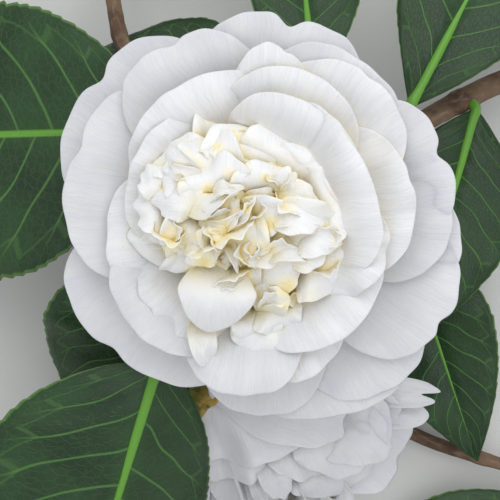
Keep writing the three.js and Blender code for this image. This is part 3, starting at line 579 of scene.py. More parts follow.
def petal_sheet(u, v, form):
    """A petal in its bloom's frame: a line from foot to tip, cupped across, its end rolled and ruffled."""
    petal = {**PLAIN_PETAL, **form}
    x = u * np.sqrt(1 - v * v / 2)
    y = v * np.sqrt(1 - u * u / 2)
    along = (y + 1) / 2
    edge = np.hypot(x, y)
    end = smooth((along - 0.35) / 0.5)
    rim = smooth((edge - 0.5) / 0.5) * end
    angle = np.arctan2(x, y + 0.35)
    phase = petal["phase"]
    teeth = np.sin(angle * 7 + phase * 3.1) + 0.6 * np.sin(angle * 19 + phase * 5.7)
    scallop = 1 + petal["scallop"] * rim * teeth
    narrow = petal["claw"] + (1 - petal["claw"]) * smooth(along / 0.62)
    offset = x * petal["width"] / 2 * narrow * scallop
    notch = petal["notch"] * np.exp(-(((x - petal["notch_at"]) / 0.12) ** 2)) * smooth((along - 0.6) / 0.4)
    spread = (petal["broad"] * x * x + petal["slant"] * x) * smooth((along - 0.2) / 0.5)
    t = (along + spread) * scallop - notch
    rise = petal["tip"] - petal["foot"]
    line = [
        (petal["foot_radius"], petal["foot"]),
        (petal["reach"] * 0.3, petal["foot"] + rise * petal["bow"]),
        (petal["reach"] * 0.72, petal["tip"] + petal["over"]),
        (petal["reach"], petal["tip"]),
    ]
    centre, slope = bezier(line, t)
    bend = petal["cup_foot"] + (petal["cup_tip"] - petal["cup_foot"]) * smooth(along)
    bend = np.where(np.abs(bend) < 1e-5, 1e-5, bend)
    across = np.sin(offset * bend) / bend
    lift = (1 - np.cos(offset * bend)) / bend + petal["side"] * offset
    lift += petal["fold"] * np.sqrt(offset ** 2 + 1.5) * smooth(along / 0.5)
    lift += petal["ruffle"] * rim * np.sin(angle * petal["waves"] + phase)
    lift += 0.35 * petal["ruffle"] * rim * edge ** 2 * np.sin(angle * (2 * petal["waves"] + 3) + 2.1 * phase)
    lift += petal["crease"] * end * np.sin(x * 9 + phase * 2.3) * np.cos(x * 4.1 + phase)
    lift -= petal["roll"] * smooth((edge - 0.72) / 0.28) ** 1.5 * end
    lift -= petal["curl"] * smooth((along - 0.55) / 0.45) ** 2
    yaw = math.radians(petal["turn"])
    out = lift * math.cos(yaw) + across * math.sin(yaw)
    sideways = across * math.cos(yaw) - lift * math.sin(yaw)
    radius = centre[:, 0] - slope[:, 1] * out
    height = centre[:, 1] + slope[:, 0] * out
    azimuth = np.radians(petal["azimuth"] + petal["swirl"] * t * t)
    points = np.stack([
        petal["shift"][0] + radius * np.cos(azimuth) - sideways * np.sin(azimuth),
        petal["shift"][1] + radius * np.sin(azimuth) + sideways * np.cos(azimuth),
        height,
    ], 1)
    return points, x, along


def strap_sheet(u, v, row, order):
    """A petaloid along a curve through three places, turned about it, and cupped, folded and ruffled."""
    foot, middle, tip, width, first_tilt, last_tilt, cup, fold, ruffle, particular = row
    strap = {**PLAIN_STRAP, **particular}
    x = u * np.sqrt(1 - v * v / 2)
    y = v * np.sqrt(1 - u * u / 2)
    along = (y + 1) / 2
    edge = np.hypot(x, y)
    end = smooth((along - 0.3) / 0.5)
    rim = smooth((edge - 0.35) / 0.65) * end
    angle = np.arctan2(x, y + 0.35)
    phase = order * 1.9
    waves = 3 + order % 3
    jagged = 0.3 * strap["jagged"] / (1 + width / 12)
    teeth = 0.2 * np.sin(angle * 5 + phase * 3.1) + 0.15 * np.sin(angle * 13 + phase * 5.7)
    scallop = 1 + jagged * rim * teeth
    narrow = strap["claw"] + (1 - strap["claw"]) * smooth(along / 0.5)
    offset = x * width / 2 * narrow * scallop
    notch = strap["notch"] * np.exp(-(((x - strap["notch_at"]) / 0.13) ** 2)) * smooth((along - 0.6) / 0.4)
    t = ((along + strap["broad"] * x * x * smooth((along - 0.2) / 0.5)) * scallop - notch)[:, None]
    start, through, stop = spot(*foot), spot(*middle), spot(*tip)
    control = 2 * through - (start + stop) / 2
    centre = (1 - t) ** 2 * start + 2 * t * (1 - t) * control + t ** 2 * stop
    ahead = (1 - t) * (control - start) + t * (stop - control)
    ahead /= np.linalg.norm(ahead, axis=1, keepdims=True)
    level = np.cross(ahead, (0, 0, 1))
    level /= np.linalg.norm(level, axis=1, keepdims=True)
    face = np.cross(level, ahead)
    tilt = np.radians(first_tilt + (last_tilt - first_tilt) * smooth(t))
    side = level * np.cos(tilt) + face * np.sin(tilt)
    out = face * np.cos(tilt) - level * np.sin(tilt)
    bend = cup if abs(cup) > 1e-4 else 1e-4
    lift = (1 - np.cos(offset * bend)) / bend
    lift += fold * (np.sqrt(offset ** 2 + 0.6) - 0.77) * smooth(along / 0.5)
    swell = ruffle * rim * np.sin(angle * waves + phase)
    swell += 0.4 * ruffle * rim * edge ** 2 * np.sin(angle * (2 * waves + 3) + 2 * phase)
    lift += swell
    lift += 0.3 * end * np.sin(x * 7 + phase * 2.3) * np.cos(along * 9 + phase)
    across = np.sin(offset * bend) / bend
    return centre + side * across[:, None] + out * lift[:, None], x, along


def frill_sheet(u, v, row, order):
    """A petaloid on edge: its ruffled rim on a smooth line, its wall curving down and aside to the foot."""
    rim, depth, foot = row
    steps = 60
    line, ahead, length = smooth_line([spot(*place) for place in rim], steps)
    level = np.stack([-ahead[:, 1], ahead[:, 0], 0 * ahead[:, 2]], 1)
    s = (u + 1) / 2
    w = (v + 1) / 2 * np.sqrt(1 - 0.8 * u ** 4)
    run = np.linspace(0, 1, steps + 1)
    point = read_line(s, run, line)
    aside = read_line(s, run, level)
    pixel = pixel_at(rim[0][2])
    lean = np.array((foot[0] * pixel, -foot[1] * pixel, 0))
    phase = order * 2.4
    turns = 2 * math.pi * length / 5.5
    swing = w ** 2 * (np.sin(turns * s + phase) + 0.45 * np.sin(2.3 * turns * s + 2 * phase))
    tooth = 1 + 0.05 * w * np.sin(3.1 * turns * s + phase) + 0.07 * w * np.sin(1.3 * turns * s + 1.7 * phase)
    down = 1 - w * tooth
    inwards = 0.6 * down + 0.4 * np.sqrt(np.maximum(down, 0))
    points = point + lean * inwards[:, None] + aside * (0.55 * swing)[:, None]
    points[:, 2] -= depth * down
    return points, u * 0.6, w


def bloom_frame(bloom):
    """The bloom's own directions, the last along its axis, and its foot."""
    z = unit(bloom["axis"])
    x = unit(np.array((1, 0, 0)) - z * z[0])
    return np.array((x, np.cross(z, x), z)), np.array(bloom["foot"], float)


def dome_height(radius):
    return DOME_HEIGHT * (1 - (radius / DOME_RADIUS) ** 2)


def place_petal(sheet, points, x, along):
    write_corners(sheet, points)
    write_map(sheet, 0.5 + 0.5 * x / (0.35 + along), along)
    write_number(sheet, "along", along)
    return sheet


def add_petal(bloom, form, detail, settle_at=None, order=0):
    axes, foot = bloom_frame(bloom)
    sheet, u, v = add_sheet(detail, detail)
    points, x, along = petal_sheet(u, v, form)
    points = points @ axes + foot
    if settle_at:
        points = settle_at(points, order)
    return place_petal(sheet, points, x, along)


def add_strap(row, order, detail, settle_at=None):
    sheet, u, v = add_sheet(detail, detail)
    points, x, along = strap_sheet(u, v, row, order)
    if settle_at:
        points = settle_at(points, order, {**PLAIN_STRAP, **row[-1]}["layer"])
    return place_petal(sheet, points, x, along)


def add_frill(row, order):
    sheet, u, v = add_sheet(*DETAIL["frill"])
    return place_petal(sheet, *frill_sheet(u, v, row, order))


# Cream at the petals' feet, and painted shade in cream where a bloom's petals shelter each other
def sky_rays(bloom):
    """Lines of sight all round the bloom's axis, in turn close to it and further out."""
    axes, _ = bloom_frame(bloom)
    rays = []
    for turn in range(RAYS):
        lean = math.radians(LEANS[turn % len(LEANS)])
        angle = math.radians(GOLDEN_ANGLE * turn)
        level = (math.sin(lean) * math.cos(angle), math.sin(lean) * math.sin(angle), math.cos(lean))
        rays.append(Vector(np.array(level) @ axes))
    return rays


def light_lost(tree, start, rays):
    """The rays from a place that meet a petal, each counting for less where the petal is far off."""
    lost = 0
    for ray in rays:
        distance = tree.ray_cast(start, ray, REACH * MM)[3]
        if distance:
            lost += 1 - 0.5 * distance / (REACH * MM)
    return lost


def sheltered(sheets, bloom, also=()):
    """For each sheet, how much of the light from above its corners lose to the petals round them."""
    corners = []
    faces = []
    for sheet in [*sheets, *also]:
        start = len(corners)
        corners.extend(vertex.co for vertex in sheet.data.vertices)
        faces.extend([start + corner for corner in face.vertices] for face in sheet.data.polygons)
    tree = BVHTree.FromPolygons(corners, faces)
    rays = sky_rays(bloom)
    up = Vector(bloom_frame(bloom)[0][2]) * 0.5 * MM
    shares = []
    for sheet in sheets:
        lost = [light_lost(tree, vertex.co + up, rays) for vertex in sheet.data.vertices]
        shares.append(np.array(lost) / RAYS)
    return shares


def pocket_shade(sheet):
    """How deep in the pockets of painted shade each corner of a sheet lies, seen from the camera."""
    points = read_corners(sheet) / MM - SHIFT
    deepest = np.zeros(len(points))
    for right, down, width, strength in SHADE_POCKETS:
        centre = spot(right, down, POCKET_HEIGHT)
        reach = width * pixel_at(POCKET_HEIGHT)
        away = np.hypot(points[:, 0] - centre[0], points[:, 1] - centre[1])
        deepest = np.maximum(deepest, strength * np.exp(-((away / reach) ** 2)))
    return deepest


def paint_cream_and_shade(sheets, bloom, strengths, also=(), pockets=False):
    """Painted shade in cream where a petal is sheltered and in the pockets, its own cream towards its foot,
    and painted light in the middle.
    """
    for sheet, share, strength in zip(sheets, sheltered(sheets, bloom, also), strengths):
        along = np.empty(len(sheet.data.vertices), np.float32)
        sheet.data.attributes["along"].data.foreach_get("value", along)
        # Painted shade: the light that a corner loses to the petals round it is painted in as cream; the
        # cream towards the foot is the petal's own colour
        foot = 0.9 * np.clip(1 - along * 1.1, 0, 1) ** 1.4
        cream_and_painted_shade = np.maximum(0.1 + 0.85 * smooth((share - 0.15) / 0.6), foot) * strength
        if pockets:
            cream_and_painted_shade = np.maximum(cream_and_painted_shade, pocket_shade(sheet) * smooth(strength / 0.8))
        write_number(sheet, "cream_and_painted_shade", cream_and_painted_shade)
        # Painted light and shade: how far a petal is painted in the middle's bright white rather than the
        # outer petals' grey
        write_number(sheet, "middle", smooth(strength))


# Forms of the petals, ring by ring
def guard_form(row, order, **form):
    azimuth, reach, width, lift, notch, notch_at, broad, slant = row
    return {
        "azimuth": azimuth, "reach": reach, "width": width, "notch": notch, "notch_at": notch_at,
        "broad": broad, "slant": slant, "foot": 3 + 0.25 * lift, "side": 0.03, "phase": order * 1.7, **form,
    }


def front_guard(order):
    row = FRONT_GUARDS[order]
    return guard_form(row, order, tip=dome_height(row[1]) + FRONT_RIM + row[3], roll=0.5)


def front_inner(order):
    azimuth, reach, width, tip, ruffle, waves, notch, notch_at = FRONT_INNER[order]
    return {
        "azimuth": azimuth, "reach": reach, "width": width, "tip": tip, "notch": notch, "notch_at": notch_at,
        "foot": 7 + 0.3 * order, "over": 2.2, "bow": 0.2, "cup_foot": 0.03, "cup_tip": -0.012, "roll": 0.4,
        "ruffle": ruffle, "waves": waves, "phase": order * 2.1, "crease": 0.5,
    }


def petaloids(rings, middle, seed):
    """The tongues of all the rings, each a little different by chance."""
    chance = random.Random(seed)
    forms = []
    for count, reach, width, tip, crest, start in rings:
        for place in range(count):
            forms.append({
                "shift": (middle[0] + chance.uniform(-1, 1), middle[1] + chance.uniform(-1, 1)),
                "azimuth": start + 360 / count * place + chance.uniform(-10, 10),
                "reach": reach + chance.uniform(-2.5, 2),
                "width": width * chance.uniform(0.8, 1.15),
                "tip": tip + chance.uniform(-1.6, 1.6),
                "over": crest + chance.uniform(-1.5, 1.5),
                "bow": chance.uniform(0.95, 1.3),
                "turn": chance.uniform(-40, 40),
                "swirl": chance.uniform(-28, 28),
                "side": chance.uniform(-0.15, 0.15),
                "fold": chance.uniform(-0.15, 0.25),
                "ruffle": chance.uniform(0.7, 1.5),
                "waves": chance.choice((3, 4, 5)),
                "phase": chance.uniform(0, 6),
                "notch": chance.uniform(0, 0.12),
                "notch_at": chance.uniform(-0.4, 0.4),
                "roll": chance.uniform(-0.4, 0.8),
                "curl": chance.uniform(-0.5, 2),
                "cup_foot": 0.05,
                "cup_tip": chance.uniform(-0.03, 0.06),
                "claw": 0.45,
                "foot": tip - PETALOID_RISE,
                "foot_radius": 1,
                "crease": 0.4,
                "scallop": 0.01,
            })
    return forms


def second_inner(order):
    return {
        "azimuth": SECOND_INNER["start"] + SECOND_INNER["between"] * order + 8 * math.sin(order * 2.3),
        "reach": SECOND_INNER["reach"] + 2 * math.sin(order * 1.7),
        "width": SECOND_INNER["width"],
        "tip": SECOND_INNER["tip"] + 2 * math.sin(order * 3.1),
        "foot": SECOND_INNER["foot"],
        "over": 4, "bow": 0.25, "roll": 1.5, "broad": 0.06, "ruffle": 1.1, "waves": 7, "phase": order * 2.3,
        "crease": 0.4,
    }


def second_forms():
    guards = [
        guard_form(row, order, tip=SECOND_RIM + row[3], over=3, roll=0.8)
        for order, row in enumerate(SECOND_GUARDS)
    ]
    return guards + [second_inner(order) for order in range(SECOND_INNER["count"])]


def is_hidden_tuft(form):
    return HIDDEN_TUFTS[0] < form["azimuth"] % 360 < HIDDEN_TUFTS[1]


# The shape of a leaf
def leaf_of(name):
    return {**PLAIN_LEAF, **LEAVES[name]}


def leaf_frame(leaf, t):
    """The leaf's middle line at t, the directions across it and out of its face, and its level heading."""
    first, last = (math.radians(angle) for angle in leaf["pitch"])
    turn = last - first
    pitch = first + turn * t
    heading = math.radians(leaf["heading"])
    ahead = np.array((math.cos(heading), math.sin(heading), 0))
    aside = np.array((-math.sin(heading), math.cos(heading), 0))
    up = np.array((0, 0, 1))
    length = leaf["length"]
    point = (
        np.array(leaf["foot"])
        + np.outer(length * (np.sin(pitch) - math.sin(first)) / turn, ahead)
        - np.outer(length * (np.cos(pitch) - math.cos(first)) / turn, up)
        + np.outer(length * math.radians(leaf["sweep"]) * t * t / 2, aside)
    )
    face = np.outer(-np.sin(pitch), ahead) + np.outer(np.cos(pitch), up)
    roll = math.radians(leaf["roll"])
    across = aside * math.cos(roll) + face * math.sin(roll)
    out = face * math.cos(roll) - aside * math.sin(roll)
    return point, across, out, ahead


def leaf_half_width(leaf, t):
    rise = np.sin(np.pi / 2 * np.minimum(t / leaf["widest"], 1)) ** leaf["blunt"]
    past = np.maximum((t - leaf["widest"]) / (1 - leaf["widest"]), 0)
    fall = (1 - past ** 2.1) * (1 - 0.2 * past) + 0.015
    return leaf["width"] / 2 * np.where(t < leaf["widest"], np.maximum(rise, 0.03), fall)


# The second bloom, slipped under the lower left leaf and the front bloom
def tuck_under(leaf, points, clear):
    """Points that would come through a leaf from below, moved down until they are clear of it."""
    first, last = (math.radians(angle) for angle in leaf["pitch"])
    ahead = leaf_frame(leaf, np.zeros(1))[3]
    sine = math.sin(first) + (points - np.array(leaf["foot"])) @ ahead * (last - first) / leaf["length"]
    t = np.clip((np.arcsin(np.clip(sine, -1, 1)) - first) / (last - first), 0, 1)
    middle, side, face, _ = leaf_frame(leaf, t)
    offset = points - middle
    across = np.abs((offset * side).sum(1))
    allowed = across * (math.sin(math.radians(leaf["fold"])) - TUCK["slope"]) - clear
    excess = np.maximum((offset * face).sum(1) - allowed, 0)
    covered = smooth((leaf_half_width(leaf, t) + TUCK["fade"] - across) / TUCK["fade"])
    return points - face * (excess * covered)[:, None]


def keep_below_front(points, clear):
    """Points under the front bloom, kept below the cone of its outer petals."""
    axes, foot = bloom_frame(FRONT_BLOOM)
    local = (points - foot) @ axes.T
    radius = np.hypot(local[:, 0], local[:, 1])
    covered = smooth((COVER["edge"] + COVER["fade"] - radius) / COVER["fade"])
    excess = local[:, 2] + clear - np.minimum(COVER["height"] + COVER["slope"] * radius, COVER["level"])
    drop = excess + KNEE * np.exp(-(excess + KNEE) / KNEE)
    local[:, 2] -= np.where(excess > -KNEE, covered * drop, 0)
    return local @ axes + foot


def settle_second(points, order, layer=None):
    """A petal of the second bloom, or a strap of one of its layers, tucked under and laid on the floor."""
    if layer is None:
        clear = TUCK["petal"]
        deeper = 0
    else:
        clear = TUCK["strap"] + layer * LAYER
        deeper = layer * LAYER
    points = tuck_under(leaf_of("leaf_lower_left"), points, clear)
    points = keep_below_front(points, deeper)
    points[:, 2] = settle(points[:, 2], LIE["lowest"] + LIE["between"] * order)
    return points


def settle_scale(points, order):
    return tuck_under(leaf_of("leaf_lower_left"), points, TUCK["scale"])


# Nodes for the finishes
def new_material(name, roughness):
    material = bpy.data.materials.new(name)
    material.use_nodes = True
    shader = material.node_tree.nodes["Principled BSDF"]
    shader.inputs["Roughness"].default_value = roughness
    return material, shader


class Nodes:
    """Short names for the nodes that a finish is wired from."""

    def __init__(self, material):
        self.tree = material.node_tree

    def add(self, kind, **settings):
        node = self.tree.nodes.new(kind)
        for name, value in settings.items():
            setattr(node, name, value)
        return node

    def link(self, source, target):
        if isinstance(source, (int, float)):
            target.default_value = source
        else:
            self.tree.links.new(source, target)

    def number(self, name):
        return self.add("ShaderNodeAttribute", attribute_name=name).outputs["Fac"]

    def place(self):
        return self.add("ShaderNodeTexCoord").outputs["Object"]

    def own_map(self):
        parts = self.add("ShaderNodeSeparateXYZ")
        self.link(self.add("ShaderNodeTexCoord").outputs["UV"], parts.inputs[0])
        return parts.outputs["X"], parts.outputs["Y"]

    def math(self, operation, first, second=0.0):
        node = self.add("ShaderNodeMath", operation=operation)
        self.link(first, node.inputs[0])
        self.link(second, node.inputs[1])
        return node.outputs[0]

    def plus(self, first, second):
        return self.math("ADD", first, second)

    def minus(self, first, second):
        return self.math("SUBTRACT", first, second)

    def times(self, first, second):
        return self.math("MULTIPLY", first, second)

    def step(self, value, low, high, start=0.0, end=1.0):
        node = self.add("ShaderNodeMapRange", interpolation_type="SMOOTHSTEP")
        self.link(value, node.inputs["Value"])
        self.link(low, node.inputs["From Min"])
        self.link(high, node.inputs["From Max"])
        node.inputs["To Min"].default_value = start
        node.inputs["To Max"].default_value = end
        return node.outputs[0]

    def vector(self, x, y, z=0.0):
        node = self.add("ShaderNodeCombineXYZ")
        for source, target in zip((x, y, z), node.inputs):
            self.link(source, target)
        return node.outputs[0]

    def noise(self, vector, scale, detail=3.0, roughness=0.55):
        node = self.add("ShaderNodeTexNoise")
        self.link(vector, node.inputs["Vector"])
        node.inputs["Scale"].default_value = scale
        node.inputs["Detail"].default_value = detail
        node.inputs["Roughness"].default_value = roughness
        return node.outputs["Fac"]

    def mix(self, factor, first, second):
        node = self.add("ShaderNodeMix", data_type="RGBA")
        self.link(factor, node.inputs["Factor"])
        for source, target in ((first, node.inputs["A"]), (second, node.inputs["B"])):
            if isinstance(source, tuple):
                target.default_value = (*source, 1)
            else:
                self.link(source, target)
        return node.outputs["Result"]

    def bump(self, height, distance, strength=1.0, under=None):
        node = self.add("ShaderNodeBump")
        self.link(height, node.inputs["Height"])
        node.inputs["Distance"].default_value = distance * MM
        node.inputs["Strength"].default_value = strength
        if under is not None:
            self.link(under, node.inputs["Normal"])
        return node.outputs["Normal"]


# Finishes, and the colours that they are mixed from
COLOURS = {
    # Painted light and shade: the outer petals' whites are painted grey as shade, the middle's white brighter
    # as painted light
    "outer_shade": (0.63, 0.63, 0.655), "outer_shaded_white": (0.70, 0.70, 0.71),
    # The streak colour is both the petals' real striations and painted shade at their rims
    "middle_lit_white": (0.92, 0.915, 0.90), "petal_streak_and_rim_shade": (0.62, 0.64, 0.70),
    "petal_grain": (0.57, 0.58, 0.62), "petal_speck": (0.55, 0.50, 0.47),
    # Creams: the petals' own colour at their feet, and painted shade in sheltered places
    "pale_cream_and_shade": (0.97, 0.91, 0.70), "deep_cream_and_shade": (0.94, 0.77, 0.33),
    "leaf_dark": (0.009, 0.032, 0.009), "leaf_green": (0.019, 0.058, 0.016), "leaf_net": (0.05, 0.13, 0.03),
    "leaf_loop": (0.07, 0.18, 0.04), "leaf_vein": (0.09, 0.24, 0.045), "leaf_glow": (0.03, 0.11, 0.015),
    "leaf_rib": (0.12, 0.32, 0.035), "leaf_edge": (0.10, 0.2, 0.05),
    "scale_foot": (0.20, 0.21, 0.035), "scale_tip": (0.42, 0.27, 0.05), "scale_spot": (0.13, 0.07, 0.02),
    "scale_line": (0.5, 0.4, 0.12),
    "bark_dark": (0.075, 0.037, 0.018), "bark_brown": (0.17, 0.105, 0.06), "bark_pale": (0.30, 0.23, 0.16),
    "bark_crack": (0.03, 0.016, 0.009), "cut_wood": (0.52, 0.42, 0.26),
    "floor": (0.7, 0.7, 0.68), "sky": (0.95, 0.97, 1),
}


def petal_finish():
    material, shader = new_material("petal", 0.5)
    n = Nodes(material)
    across, along = n.own_map()
    drift = n.times(n.noise(n.place(), 120, 2), 0.08)
    bent = n.plus(across, drift)
    streaks = n.noise(n.vector(n.times(bent, 42), n.times(along, 2)), 1.0, 3)
    threads = n.noise(n.vector(n.times(bent, 150), n.times(along, 6)), 1.0, 3)
    rim = n.step(along, 0.4, 0.95)
    clouds = n.noise(n.place(), 90, 2)
    # Painted shade and light: grey whites on the outer petals, a brighter white in the middle of a bloom
    outer = n.mix(n.step(clouds, 0.35, 0.7), COLOURS["outer_shade"], COLOURS["outer_shaded_white"])
    lit_and_shaded_white = n.mix(n.number("middle"), outer, COLOURS["middle_lit_white"])
    calm = n.minus(1.0, n.times(n.number("middle"), 0.75))
    # Streaks and grain are real striations; they grow stronger towards the rim, where they also paint the
    # bluish shade of the rims
    streak_and_rim_shade_amount = n.times(calm, n.plus(0.15, n.times(rim, 0.45)))
    lines = n.times(n.step(streaks, 0.42, 0.72), streak_and_rim_shade_amount)
    streaked = n.mix(lines, lit_and_shaded_white, COLOURS["petal_streak_and_rim_shade"])
    grain = n.times(n.step(threads, 0.5, 0.75), n.times(streak_and_rim_shade_amount, 0.75))
    grained = n.mix(grain, streaked, COLOURS["petal_grain"])
    specks = n.step(n.noise(n.place(), 1100, 2), 0.68, 0.78)
    specked = n.mix(n.times(specks, 0.35), grained, COLOURS["petal_speck"])
    # Cream: the petal's own towards its foot, painted shade where it is sheltered and in the pockets
    cream_and_painted_shade = n.number("cream_and_painted_shade")
    pale = n.mix(n.step(cream_and_painted_shade, 0.05, 0.55), specked, COLOURS["pale_cream_and_shade"])
    deep = n.mix(n.step(cream_and_painted_shade, 0.4, 0.95), pale, COLOURS["deep_cream_and_shade"])
    n.link(deep, shader.inputs["Base Color"])
    shader.inputs["Subsurface Weight"].default_value = 0.2
    shader.inputs["Subsurface Radius"].default_value = (1.0, 0.9, 0.65)
    shader.inputs["Subsurface Scale"].default_value = 1.2 * MM
    ribs = n.bump(n.plus(streaks, n.times(threads, 0.5)), 0.25, 0.7)
    n.link(n.bump(n.noise(n.place(), 700, 3), 0.08, 0.35, ribs), shader.inputs["Normal"])
    return material


def leaf_finish():
    material, shader = new_material("leaf", 0.32)
    n = Nodes(material)
    across, along = n.own_map()
    off_middle = n.math("ABSOLUTE", n.minus(n.times(across, 2), 1))
    side = n.math("GREATER_THAN", across, 0.5)
    drift = n.noise(n.vector(n.times(across, 2.5), n.times(along, 5)), 1.0, 1)
    sweep = n.times(n.math("POWER", off_middle, VEINS["bend"]), VEINS["sweep"])
    count = n.minus(n.times(along, VEINS["count"]), sweep)
    shift = n.times(side, VEINS["shift"])
    count = n.plus(n.plus(count, n.times(drift, 0.9)), shift)
    from_vein = n.math("PINGPONG", count, 0.5)
    fade = n.step(off_middle, 0.95, 0.6)
    veins = n.times(n.step(from_vein, 0.055, 0.015), fade)
    loop_line = n.plus(0.72, n.times(from_vein, 0.3))
    loop = n.math("ABSOLUTE", n.minus(off_middle, loop_line))
    loops = n.step(loop, 0.03, 0.008)
    cells = n.add("ShaderNodeTexVoronoi", feature="DISTANCE_TO_EDGE")
    n.link(n.vector(n.times(across, 34), n.times(along, 56)), cells.inputs["Vector"])
    cells.inputs["Scale"].default_value = 1.0
    net = n.step(cells.outputs["Distance"], 0.09, 0.02)
    rib_width = n.minus(0.05, n.times(along, 0.038))
    rib = n.step(off_middle, rib_width, n.times(rib_width, 0.45))
    glow = n.step(off_middle, n.times(rib_width, 3.5), 0.0)
    blotch = n.noise(n.place(), 60, 3)
    green = n.mix(n.step(blotch, 0.3, 0.7), COLOURS["leaf_dark"], COLOURS["leaf_green"])
    green = n.mix(n.times(net, 0.16), green, COLOURS["leaf_net"])
    green = n.mix(n.times(loops, 0.3), green, COLOURS["leaf_loop"])
    green = n.mix(n.times(veins, 0.6), green, COLOURS["leaf_vein"])
    green = n.mix(n.times(glow, 0.3), green, COLOURS["leaf_glow"])
    green = n.mix(rib, green, COLOURS["leaf_rib"])
    green = n.mix(n.step(off_middle, 0.965, 0.99), green, COLOURS["leaf_edge"])
    n.link(green, shader.inputs["Base Color"])
    n.link(n.step(blotch, 0.2, 0.8, 0.24, 0.42), shader.inputs["Roughness"])
    shader.inputs["Specular IOR Level"].default_value = 0.32
    shader.inputs["Coat Weight"].default_value = 0.08
    shader.inputs["Coat Roughness"].default_value = 0.2
    fine = n.plus(n.times(net, 0.35), n.times(loops, 0.4))
    sunk = n.plus(n.times(veins, 0.7), fine)
    relief = n.bump(n.minus(1.0, sunk), 0.35, 0.6)
    n.link(n.bump(n.noise(n.place(), 900, 3), 0.1, 0.35, relief), shader.inputs["Normal"])
    return material


def scale_finish():
    material, shader = new_material("calyx_scale", 0.6)
    n = Nodes(material)
    across, along = n.own_map()
    fan = n.vector(n.times(across, 26), n.times(along, 2))
    lines = n.noise(fan, 1.0, 3)
    spots = n.noise(n.place(), 350, 3)
    base = n.mix(n.step(along, 0.25, 0.85), COLOURS["scale_foot"], COLOURS["scale_tip"])
    base = n.mix(n.step(spots, 0.5, 0.72), base, COLOURS["scale_spot"])
    base = n.mix(n.times(n.step(lines, 0.45, 0.7), 0.4), base, COLOURS["scale_line"])
    n.link(base, shader.inputs["Base Color"])
    n.link(n.bump(lines, 0.2, 0.6), shader.inputs["Normal"])
    return material


def bark_finish():
    material, shader = new_material("bark", 0.75)
    n = Nodes(material)
    around, along = n.own_map()
    grain = n.noise(n.vector(n.times(around, 12), n.times(along, 0.22)), 1.0, 5)
    patches = n.noise(n.place(), 140, 4)
    brown = n.mix(n.step(patches, 0.35, 0.65), COLOURS["bark_dark"], COLOURS["bark_brown"])
    brown = n.mix(n.times(n.step(grain, 0.5, 0.75), 0.6), brown, COLOURS["bark_pale"])
    brown = n.mix(n.step(grain, 0.38, 0.25), brown, COLOURS["bark_crack"])
    brown = n.mix(n.number("cut"), brown, COLOURS["cut_wood"])
    n.link(brown, shader.inputs["Base Color"])
    ridges = n.bump(grain, 0.5, 0.7)
    n.link(n.bump(n.noise(n.place(), 800, 4), 0.15, 0.5, ridges), shader.inputs["Normal"])
    return material


PETAL = petal_finish()
LEAF = leaf_finish()
SCALE = scale_finish()
BARK = bark_finish()


# Limbs
def level_frames(ahead):
    """Two directions square to the line at each step, carried along it without twist."""
    side = np.cross(ahead[0], (0.3, 0.2, 0.9))
    sides = []
    for direction in ahead:
        side = side - direction * (side @ direction)
        side /= np.linalg.norm(side)
        sides.append(side)
    sides = np.array(sides)
    return sides, np.cross(ahead, sides)


def add_tube(points, radius_at, around, steps, roughness=0.0, seed=0.0):
    """A closed tube along a smooth line: a ball's rings moved on to it, the last ones making flat ends."""
    line, ahead, length = smooth_line(points, steps)
    sides, ups = level_frames(ahead)
    bpy.ops.mesh.primitive_uv_sphere_add(segments=around, ring_count=steps + 4, radius=1)
    tube = bpy.context.object
    ball = read_corners(tube)
    ring = np.rint(np.arccos(np.clip(-ball[:, 2], -1, 1)) / np.pi * (steps + 4)).astype(int)
    angle = np.arctan2(ball[:, 1], ball[:, 0])
    step = np.clip(ring - 2, 0, steps)
    inwards = np.minimum(ring, steps + 4 - ring)
    share = np.choose(np.minimum(inwards, 2), (0, 0.8, 1))
    t = step / steps
    radius = radius_at(t)
    if roughness:
        coarse = np.stack([np.cos(angle) * 2.2, np.sin(angle) * 2.2, t * length * 0.11 + seed], 1)
        fine = np.stack([np.cos(angle) * 4.5, np.sin(angle) * 4.5, t * length * 0.5 + seed], 1)
        relief = noise_at(coarse) + 0.5 * noise_at(fine)
        radius = radius * (1 + roughness * relief)
    out = sides[step] * np.cos(angle)[:, None] + ups[step] * np.sin(angle)[:, None]
    write_corners(tube, line[step] + out * (radius * share)[:, None])
    return tube, angle, t * length, share


def bloom_back(bloom, distance):
    """A place on the bloom's axis, behind its foot."""
    return tuple(np.array(bloom["foot"]) - unit(bloom["axis"]) * distance)


def limb_points(limb):
    points = list(limb["points"])
    if "bloom" in limb:
        for distance in (CALYX_DEPTH + NECK, CALYX_DEPTH + GAP):
            points.append(bloom_back(limb["bloom"], distance))
    return points


def add_limb(name):
    limb = LIMBS[name]
    first, last = limb["radii"]
    points = limb_points(limb)
    length = smooth_line(points, 10)[2]

    def radius_at(t):
        swelling = sum(0.12 * np.exp(-(((t - knot) * length / KNOT_LENGTH) ** 2)) for knot in KNOTS)
        return (first + (last - first) * t) * (1 + swelling)

    steps = int(length / LIMB_CELL)
    tube, angle, run, share = add_tube(points, radius_at, LIMB_CELLS, steps, BARK_RELIEF, len(name) * 3.7)
    write_map(tube, 0.5 + angle / (2 * math.pi), run)
    write_number(tube, "cut", np.where(share < 0.9, 1.0, 0.0))
    select_only(tube)
    bpy.ops.object.shade_smooth_by_angle(angle=SHARP_EDGE)
    tube.name = name + "_bark"
    finish_piece(tube, BARK, "bark", name)


